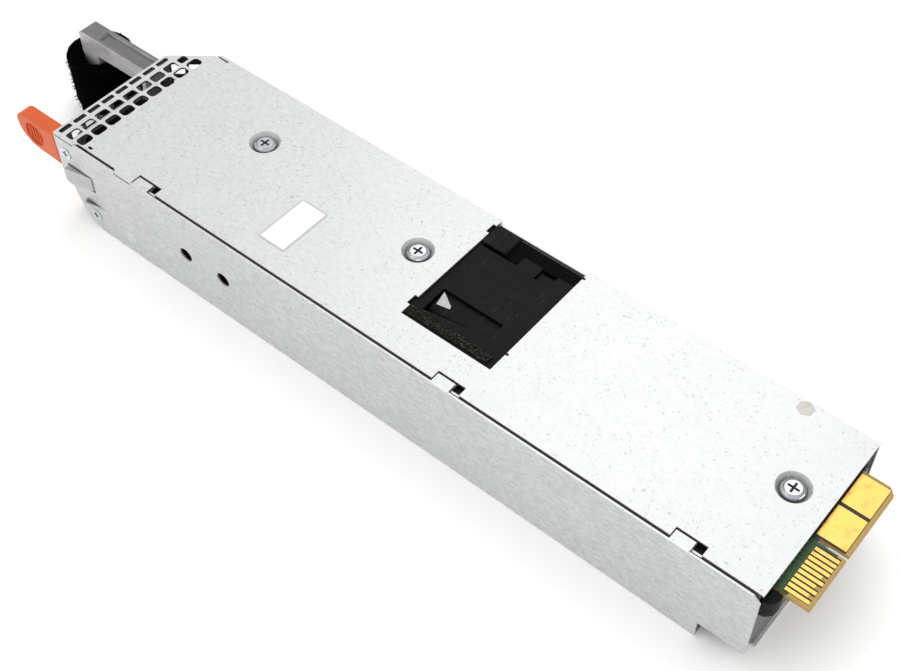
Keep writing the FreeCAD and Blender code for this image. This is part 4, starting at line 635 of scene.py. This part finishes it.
class Wardrobe:
    """Makes each material once and dresses objects with it."""

    def __init__(self) -> None:
        """Make the label's and the board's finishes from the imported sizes, then start empty."""
        low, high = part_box("blank_label")
        fingers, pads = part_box("signal_contacts"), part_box("power_pads")
        self.finishes = dict(FINISHES)
        self.finishes["label_white"] = Label(
            "blank_label_paper", (0.93, 0.93, 0.93), 0.5, centre=((low.x + high.x) / 2, (low.y + high.y) / 2),
            half=((high.x - low.x) / 2, (high.y - low.y) / 2))
        self.finishes["board_green"] = Laminate(
            "board_laminate", (0.005, 0.031, 0.005), 0.42, power_low=pads[0].xy[:], power_high=pads[1].xy[:],
            signal_low=fingers[0].xy[:], signal_high=fingers[1].xy[:])
        self.made: dict[str, bpy.types.Material] = {}
        rows = frame["record"]["subparts"]
        self.slots = {row["node"]: row["material_slot"] for row in rows}

    def material(self, slot: str) -> bpy.types.Material:
        """The material of a slot, made at its first use."""
        if slot not in self.made:
            self.made[slot] = self.finishes[slot].material()
        return self.made[slot]

    def dress(self, item: bpy.types.Object, slot: str) -> None:
        """Give an object one material.

        Args:
            item: the object.
            slot: the record's material slot.
        """
        item.data.materials.clear()
        item.data.materials.append(self.material(slot))


class Bench:
    """Modelling moves that the sub-assemblies share."""

    weld: float = 0.000004
    level_angle: float = 0.6

    def __init__(self, wardrobe: Wardrobe) -> None:
        """Keep the wardrobe."""
        self.wardrobe = wardrobe

    @staticmethod
    def only(item: bpy.types.Object) -> None:
        """Select one object and make it active."""
        bpy.ops.object.select_all(action="DESELECT")
        item.select_set(True)
        bpy.context.view_layer.objects.active = item

    @staticmethod
    def edit(item: bpy.types.Object) -> None:
        """Enter edit mode with nothing selected."""
        Bench.only(item)
        bpy.ops.object.mode_set(mode="EDIT")
        bpy.ops.mesh.select_all(action="DESELECT")

    @staticmethod
    def leave() -> None:
        """Return to object mode."""
        bpy.ops.object.mode_set(mode="OBJECT")

    @staticmethod
    def apply_modifiers(item: bpy.types.Object) -> None:
        """Apply every modifier in order."""
        Bench.only(item)
        for modifier in list(item.modifiers):
            bpy.ops.object.modifier_apply(modifier=modifier.name)

    @staticmethod
    def settle(item: bpy.types.Object) -> None:
        """Put the object's place into its mesh."""
        Bench.only(item)
        bpy.ops.object.transform_apply(location=True, rotation=True, scale=True)

    def own(self, item: bpy.types.Object, name: str, body: str, slot: str, *nodes: str) -> bpy.types.Object:
        """Name, dress and attach a finished piece.

        Args:
            item: the finished object.
            name: its name.
            body: the body that it moves with.
            slot: the record's material slot.
            nodes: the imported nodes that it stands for.

        Returns:
            The object.
        """
        item.name = name
        item.data.name = name
        self.wardrobe.dress(item, slot)
        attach(item, body)
        if nodes:
            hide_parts(*nodes)
        LOG.info("%s: %d faces", name, len(item.data.polygons))
        return item

    def softened(self, node: str, name: str, width: float, segments: int = 2, angle: float = 32.0,
                 shade: float = 30.0, split: bool = False, clamp: bool = True) -> bpy.types.Object:
        """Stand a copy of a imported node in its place, with its sharp edges rounded.

        Args:
            node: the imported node.
            name: the new piece's name.
            width: the rounding's width in metres.
            segments: the rounding's segments.
            angle: the smallest edge angle that is rounded, in degrees.
            shade: the largest angle that is shaded smooth, in degrees.
            split: whether hollow outlines are cut into plain ones first.
            clamp: whether short edges narrow the rounding.

        Returns:
            The new piece.
        """
        source = frame["nodes"][node]
        item = bpy.data.objects.new(name, source.data.copy())
        bpy.context.scene.collection.objects.link(item)
        self.edit(item)
        bpy.ops.mesh.select_all(action="SELECT")
        bpy.ops.mesh.remove_doubles(threshold=self.weld)
        bpy.ops.mesh.customdata_custom_splitnormals_clear()
        bpy.ops.mesh.select_all(action="SELECT")
        bpy.ops.mesh.dissolve_limited(angle_limit=math.radians(self.level_angle))
        if split:
            bpy.ops.mesh.select_all(action="SELECT")
            bpy.ops.mesh.vert_connect_concave()
        self.leave()
        bevel = item.modifiers.new("rounding", "BEVEL")
        bevel.width = width
        bevel.segments = segments
        bevel.limit_method = "ANGLE"
        bevel.angle_limit = math.radians(angle)
        bevel.use_clamp_overlap = clamp
        bevel.miter_outer = "MITER_ARC"
        self.apply_modifiers(item)
        bpy.ops.object.shade_smooth_by_angle(angle=math.radians(shade))
        flat = item.modifiers.new("flat_faces", "WEIGHTED_NORMAL")
        flat.keep_sharp = True
        flat.weight = 100
        self.apply_modifiers(item)
        return self.own(item, name, source["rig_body"], self.wardrobe.slots[node], node)

    def sink(self, item: bpy.types.Object, inside: Callable[[Vector], bool], slot: str = "recess") -> None:
        """Paint shade on the faces of a recess by giving them a second, darker finish.

        Args:
            item: the piece.
            inside: whether a face's centre lies in the recess.
            slot: the finish of the painted shade.
        """
        item.data.materials.append(self.wardrobe.material(slot))
        for face in item.data.polygons:
            if inside(face.center):
                face.material_index = 1


@dataclass
class Case:
    """The folded case: tray, cover, front panel and their fasteners."""

    bench: Bench
    fold: float = 0.00018
    cover_edge: float = 0.00008
    tray_edge: float = 0.0001
    screw_round: float = 0.00022
    flat_round: float = 0.00006
    stud_round: float = 0.0001
    stud_skin: float = 0.00004
    cross_reach: float = 0.00155
    cross_half: float = 0.00045
    cross_deep: float = 0.0012
    side_reach: float = 0.0015
    side_half: float = 0.00038
    cross_least: float = 0.00005
    head_wide: float = 0.009
    head_level: float = 0.00003

    def build(self) -> None:
        """Round the sheet's cut edges and the fasteners."""
        self.bench.softened("top_cover", "cover_sheet", self.cover_edge, clamp=False)
        self.bench.softened("base_tray", "tray_sheet", self.tray_edge, clamp=False)
        self.bench.softened("front_panel", "panel_sheet", self.fold)
        heads = self.bench.softened("cover_screws", "pan_head_screws", self.screw_round, 3)
        # Painted shade: the driving crosses of both kinds of screw get the dark recess finish
        self.sink_crosses(heads, Axis.Z, self.cross_reach, self.cross_half, self.cross_deep)
        flats = self.bench.softened("side_screws", "flat_head_screws", self.flat_round)
        self.bench.wardrobe.dress(flats, "pale_zinc")
        self.sink_crosses(flats, Axis.X, self.side_reach, self.side_half, self.cross_deep)
        stud = self.bench.softened("clinch_stud", "hex_stud", self.stud_round)
        self.bench.wardrobe.dress(stud, "dull_stud")
        stud_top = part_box("clinch_stud")[1].z
        # Painted shade: the stud's faces below its top get the dark recess finish
        self.bench.sink(stud, lambda spot: spot.z < stud_top - self.stud_skin)
        rivet = self.bench.softened("foot_rivet", "set_rivet", self.stud_round)
        self.bench.wardrobe.dress(rivet, "pale_zinc")

    def sink_crosses(self, heads: bpy.types.Object, axis: Axis, reach: float, half: float,
                     deep: float) -> None:
        """Paint shade into the driving crosses of screws whose heads lie level.

        Args:
            heads: the screws.
            axis: the way that the heads face.
            reach: half a cross's length.
            half: half an arm's width.
            deep: how far below the head's top a cross may reach.
        """
        level = axis.value
        one, two = [i for i in range(3) if i != level]
        top = max(vertex.co[level] for vertex in heads.data.vertices)
        spots = [vertex.co for vertex in heads.data.vertices if vertex.co[level] > top - self.head_level]
        centres = []
        while spots:
            first = spots[0]
            near = [spot for spot in spots if (spot - first).length < self.head_wide]
            spots = [spot for spot in spots if (spot - first).length >= self.head_wide]
            centres.append([(min(s[i] for s in near) + max(s[i] for s in near)) / 2 for i in (one, two)])
        self.bench.sink(heads, lambda spot: self.cross_least < top - spot[level] < deep and any(
            max(abs(spot[one] - u), abs(spot[two] - v)) < reach
            and min(abs(spot[one] - u), abs(spot[two] - v)) < half for u, v in centres))


@dataclass
class Latch:
    """The orange lever on its sprung leaf."""

    bench: Bench
    lever_round: float = 0.00025
    leaf_round: float = 0.00012

    def build(self) -> None:
        """Round the lever and the leaf."""
        self.bench.softened("release_lever", "orange_lever", self.lever_round, 3, 40.0, 40.0, True, False)
        self.bench.softened("latch_leaf", "sprung_leaf", self.leaf_round)
        self.bench.softened("leaf_foot", "leaf_root", self.leaf_round)


@dataclass
class Grip:
    """The handle loop and the wound strap."""

    bench: Bench
    handle_round: float = 0.00012
    turn_pitch: float = 0.00132
    band_thick: float = 0.00105
    half_turns: int = 10
    fibres: int = 2600
    fibre_long: float = 0.0018
    fibre_wide: float = 0.00011
    fibre_lean: float = 0.9
    lean_share: float = 0.7
    fibre_scale: tuple[float, float] = (0.5, 1.25)
    pile_seed: int = 9
    inner: float = 0.0064
    post_middle: float = 0.00435
    strands: int = 8
    arc_steps: int = 20
    weld: float = 0.00002
    outer_turns: float = 1.2
    ruffle_seed: int = 4
    edge_band: float = 0.0006
    edge_push: float = 0.00016
    face_push: float = 0.00007
    centre: Vector = field(init=False)
    low: float = field(init=False)
    high: float = field(init=False)

    def build(self) -> None:
        """Round the handle, then wind the strap."""
        self.bench.softened("handle", "handle_moulding", self.handle_round, 2, 40.0, 40.0, True, False)
        bottom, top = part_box("cable_strap")
        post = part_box("handle")[0]
        self.centre = Vector(((bottom.x + top.x) / 2, post.y + self.post_middle, 0.0))
        self.low, self.high = bottom.z, top.z
        self.wind()

    def wind(self) -> None:
        """Wind the band as half turns about two centres in turn, then give it pile."""
        bpy.ops.object.select_all(action="DESELECT")
        bpy.ops.mesh.primitive_plane_add(size=1.0)
        item = bpy.context.object
        mesh = bmesh.new()
        wide, across = self.high - self.low, self.centre.x + self.inner
        start = [mesh.verts.new((across, self.centre.y, self.low + wide * i / self.strands))
                 for i in range(self.strands + 1)]
        for one, two in zip(start, start[1:]):
            mesh.edges.new((one, two))
        mesh.to_mesh(item.data)
        mesh.free()
        self.bench.edit(item)
        bpy.ops.mesh.select_all(action="SELECT")
        for step in range(self.half_turns):
            shift = self.turn_pitch / 4 * (1 if step % 2 else -1)
            centre = (self.centre.x + shift, self.centre.y, 0.0)
            bpy.ops.mesh.spin(steps=self.arc_steps, angle=math.pi, center=centre, axis=(0.0, 0.0, 1.0))
        bpy.ops.mesh.select_all(action="SELECT")
        bpy.ops.mesh.remove_doubles(threshold=self.weld)
        bpy.ops.mesh.normals_make_consistent(inside=False)
        self.bench.leave()
        shape = item.modifiers.new("thickness", "SOLIDIFY")
        shape.thickness = self.band_thick
        shape.offset = 0.0
        self.bench.apply_modifiers(item)
        self.ruffle(item)
        self.bench.own(item, "wound_strap", "strap", "strap_fabric", "cable_strap")
        self.pile(item)

    def ruffle(self, item: bpy.types.Object) -> None:
        """Make the band's edges and outer face uneven."""
        chance = random.Random(self.ruffle_seed)
        for vertex in item.data.vertices:
            near_edge = min(vertex.co.z - self.low, self.high - vertex.co.z) < self.edge_band
            push = self.edge_push if near_edge else self.face_push
            vertex.co += Vector([chance.uniform(-push, push) for _ in range(3)])
            vertex.co.z = min(max(vertex.co.z, self.low), self.high)

    def pile(self, band: bpy.types.Object) -> None:
        """Scatter short fibres over the outer turn and the band's edges."""
        bpy.ops.object.select_all(action="DESELECT")
        bpy.ops.mesh.primitive_cone_add(
            vertices=3, radius1=self.fibre_wide, radius2=0.0, depth=self.fibre_long)
        fibre = bpy.context.object
        fibre.data.transform(Matrix.Translation((0.0, 0.0, self.fibre_long / 2)))
        chance = random.Random(self.pile_seed)
        faces = [face for face in band.data.polygons if self.shows(face)]
        weights = [face.area for face in faces]
        tufts = bmesh.new()
        for face in chance.choices(faces, weights, k=self.fibres):
            lean = Vector([chance.uniform(-self.fibre_lean, self.fibre_lean) for _ in range(3)])
            aim = (face.normal + lean * self.lean_share).normalized()
            corner = band.data.vertices[chance.choice(face.vertices)].co
            spot = face.center.lerp(corner, chance.random())
            turn = aim.to_track_quat("Z", "Y").to_matrix().to_4x4()
            size = Matrix.Scale(chance.uniform(*self.fibre_scale), 4)
            copy = fibre.data.copy()
            copy.transform(Matrix.Translation(spot) @ turn @ size)
            tufts.from_mesh(copy)
            bpy.data.meshes.remove(copy)
        tufts.to_mesh(fibre.data)
        tufts.free()
        self.bench.own(fibre, "strap_pile", "strap", "strap_fabric")

    def shows(self, face: bpy.types.MeshPolygon) -> bool:
        """Whether a face of the band is on the outer turn or an edge."""
        out = Vector((face.center.x - self.centre.x, face.center.y - self.centre.y))
        least = self.inner + self.turn_pitch * (self.half_turns / 2 - self.outer_turns)
        return out.length > least or abs(face.normal.z) > 0.5


@dataclass
class FanBay:
    """The black insert over the fan, its foam strip, the clip and the fan."""

    bench: Bench
    pad_high: float = 0.0007
    ledge_least: float = 0.0002
    ledge_most: float = 0.0013
    insert_round: float = 0.0001
    frame_round: float = 0.0003
    clip_round: float = 0.00012
    foam_cuts: int = 30
    foam_tear: float = 0.0003
    foam_sway: float = 0.00008
    foam_fill: float = 0.3
    foam_seed: int = 3

    def build(self) -> None:
        """Round the mouldings and roughen the foam."""
        insert = self.bench.softened("fan_cradle", "fan_insert", self.insert_round, split=True)
        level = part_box("fan_cradle")[1].z - self.pad_high
        # Painted shade: the insert's lower ledge gets a darker, matter black
        self.bench.sink(
            insert, lambda spot: self.ledge_least < level - spot.z < self.ledge_most, "painted_shade_ledge")
        self.bench.softened("fan_frame", "fan_housing", self.frame_round)
        clip = self.bench.softened("spring_clip", "clip_plate", self.clip_round)
        # Painted shade: the clip wears a darker copy of the spring steel
        self.bench.wardrobe.dress(clip, "spring_steel_painted_shade")
        self.foam()

    def foam(self) -> None:
        """A strip of foam with a torn, open face."""
        low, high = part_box("foam_strip")
        bpy.ops.object.select_all(action="DESELECT")
        bpy.ops.mesh.primitive_cube_add(size=1.0, location=(low + high) / 2, scale=high - low)
        item = bpy.context.object
        self.bench.settle(item)
        self.bench.edit(item)
        bpy.ops.mesh.select_all(action="SELECT")
        bpy.ops.mesh.subdivide(number_cuts=self.foam_cuts)
        self.bench.leave()
        chance = random.Random(self.foam_seed)
        middle = (low.z + high.z) / 2
        for vertex in item.data.vertices:
            if vertex.co.z > middle:
                vertex.co.z -= chance.random() ** 2 * self.foam_tear
                vertex.co.x += chance.uniform(-self.foam_sway, self.foam_sway)
        self.bench.own(item, "torn_foam", "supply", "foam_grey", "foam_strip")


@dataclass
class RearEnd:
    """The board's tabs, its wide contacts, the black guide and the mains inlet."""

    bench: Bench
    board_round: float = 0.00012
    guide_round: float = 0.0004
    contact_round: float = 0.00003
    inlet_round: float = 0.0003

    def build(self) -> None:
        """Round the laminate, the guide, the contacts and the inlet."""
        self.bench.softened("main_board", "board", self.board_round, 1)
        self.bench.softened("board_guide", "rear_guide", self.guide_round, 3)
        self.bench.softened("power_pads", "wide_contacts", self.contact_round, 1)
        self.bench.softened("inlet_socket", "inlet_moulding", self.inlet_round, split=True)
        self.bench.softened("inlet_pins", "inlet_blades", self.inlet_round)


@dataclass
class Inside:
    """Soldered parts under the board."""

    bench: Bench
    rounds: dict[str, float] = field(default_factory=lambda: {
        "film_capacitors": 0.0006, "output_choke": 0.0005, "primary_transistors": 0.0003,
        "secondary_transistors": 0.0003, "bridge_rectifier": 0.0003, "control_board": 0.0002,
        "transformer_core": 0.0003, "bulk_capacitor": 0.0012, "output_capacitors": 0.0006,
        "common_mode_cores": 0.0008, "common_mode_windings": 0.0003, "boost_choke": 0.0003,
        "varistor": 0.0012, "line_fuse": 0.0002, "transformer_winding": 0.0004,
    })

    def build(self) -> None:
        """Round each moulded or wound part."""
        for node, width in self.rounds.items():
            self.bench.softened(node, f"{node}_finished", width, split=True)


@dataclass
class Studio:
    """Pale floor, soft lamps and the camera of the photograph."""

    floor_size: float = 6.0
    floor_drop: float = 0.0001
    floor_colour: Colour = (1.0, 1.0, 0.995)
    sky_strength: float = 1.05
    overhead: float = 3.6
    overhead_side: float = 0.8
    overhead_place: Point = (-0.66, -0.25, 1.1)
    near: float = 3.3
    near_side: float = 1.2
    near_place: Point = (0.8, -0.55, 1.1)
    aim: Point = (0.0, 0.0, 0.02)
    camera_place: Point = (0.224487, 0.200789, 0.381125)
    camera_right: Point = (-0.623828, 0.781451, 0.013160)
    camera_up: Point = (-0.598865, -0.488754, 0.634414)
    camera_back: Point = (0.502194, 0.387884, 0.772882)
    lens: float = 57.0225
    shift: tuple[float, float] = (-0.053275, -0.012905)

    def build(self) -> None:
        """Make the floor, the light and the camera."""
        self.floor()
        self.world()
        self.lamp("overhead_lamp", self.overhead_place, self.overhead_side, self.overhead)
        self.lamp("near_lamp", self.near_place, self.near_side, self.near)
        self.camera()

    def floor(self) -> None:
        """A wide pale floor just under the case."""
        bpy.ops.object.select_all(action="DESELECT")
        bpy.ops.mesh.primitive_plane_add(size=self.floor_size, location=(0.0, 0.0, -self.floor_drop))
        item = bpy.context.object
        item.name = "floor"
        paint = Paint("pale_floor")
        paint.set(base_color=self.floor_colour, roughness=0.9, specular_ior_level=0.0)
        item.data.materials.append(paint.material)

    def world(self) -> None:
        """White surroundings: full white where seen or mirrored, softer as light."""
        world = bpy.data.worlds.new("surroundings")
        bpy.context.scene.world = world
        world.use_nodes = True
        tree = world.node_tree
        sky = next(n for n in tree.nodes if n.type == "BACKGROUND")
        out = next(n for n in tree.nodes if n.type == "OUTPUT_WORLD")
        seen = tree.nodes.new("ShaderNodeBackground")
        for background, strength in ((sky, self.sky_strength), (seen, 1.0)):
            background.inputs["Color"].default_value = (1.0, 1.0, 1.0, 1.0)
            background.inputs["Strength"].default_value = strength
        path = tree.nodes.new("ShaderNodeLightPath")
        share = path.outputs["Is Transmission Ray"]
        for ray in ("Is Glossy Ray", "Is Camera Ray"):
            either = tree.nodes.new("ShaderNodeMath")
            either.operation = "MAXIMUM"
            tree.links.new(path.outputs[ray], either.inputs[0])
            tree.links.new(share, either.inputs[1])
            share = either.outputs[0]
        mix = tree.nodes.new("ShaderNodeMixShader")
        for number, source in enumerate((share, sky.outputs[0], seen.outputs[0])):
            tree.links.new(source, mix.inputs[number])
        tree.links.new(mix.outputs[0], out.inputs["Surface"])

    def lamp(self, name: str, place: Point, side: float, power: float) -> None:
        """Add a square soft lamp that faces the object.

        Args:
            name: the lamp's name.
            place: where it hangs.
            side: its side in metres.
            power: its power in watts.
        """
        data = bpy.data.lights.new(name, "AREA")
        data.energy = power
        data.size = side
        item = bpy.data.objects.new(name, data)
        item.location = place
        item.rotation_euler = (Vector(self.aim) - Vector(place)).to_track_quat("-Z", "Y").to_euler()
        bpy.context.scene.collection.objects.link(item)

    def camera(self) -> None:
        """Stand the camera where the photograph was taken."""
        data = bpy.data.cameras.new("view")
        data.sensor_width = 36.0
        data.lens = self.lens
        data.shift_x, data.shift_y = self.shift
        data.clip_start = 0.01
        item = bpy.data.objects.new("view", data)
        turn = Matrix((self.camera_right, self.camera_up, self.camera_back)).transposed().to_4x4()
        item.matrix_world = Matrix.Translation(self.camera_place) @ turn
        bpy.context.scene.collection.objects.link(item)
        bpy.context.scene.camera = item
        bpy.context.scene.view_settings.view_transform = "Standard"


def dress_nodes(wardrobe: Wardrobe) -> None:
    """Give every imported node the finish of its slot."""
    for name, item in frame["nodes"].items():
        wardrobe.dress(item, wardrobe.slots[name])
        LOG.info("%s wears %s", name, wardrobe.slots[name])


def main() -> None:
    """Dress the nodes, build each sub-assembly and light the scene."""
    logging.basicConfig(level=logging.INFO, format="%(message)s")
    bpy.ops.object.select_all(action="DESELECT")
    Studio().build()
    wardrobe = Wardrobe()
    dress_nodes(wardrobe)
    bench = Bench(wardrobe)
    for assembly in (Case, Latch, Grip, FanBay, RearEnd, Inside):
        assembly(bench).build()
        LOG.info("%s is built", assembly.__name__)
    bpy.ops.object.select_all(action="DESELECT")


if __name__ == "__main__":
    main()
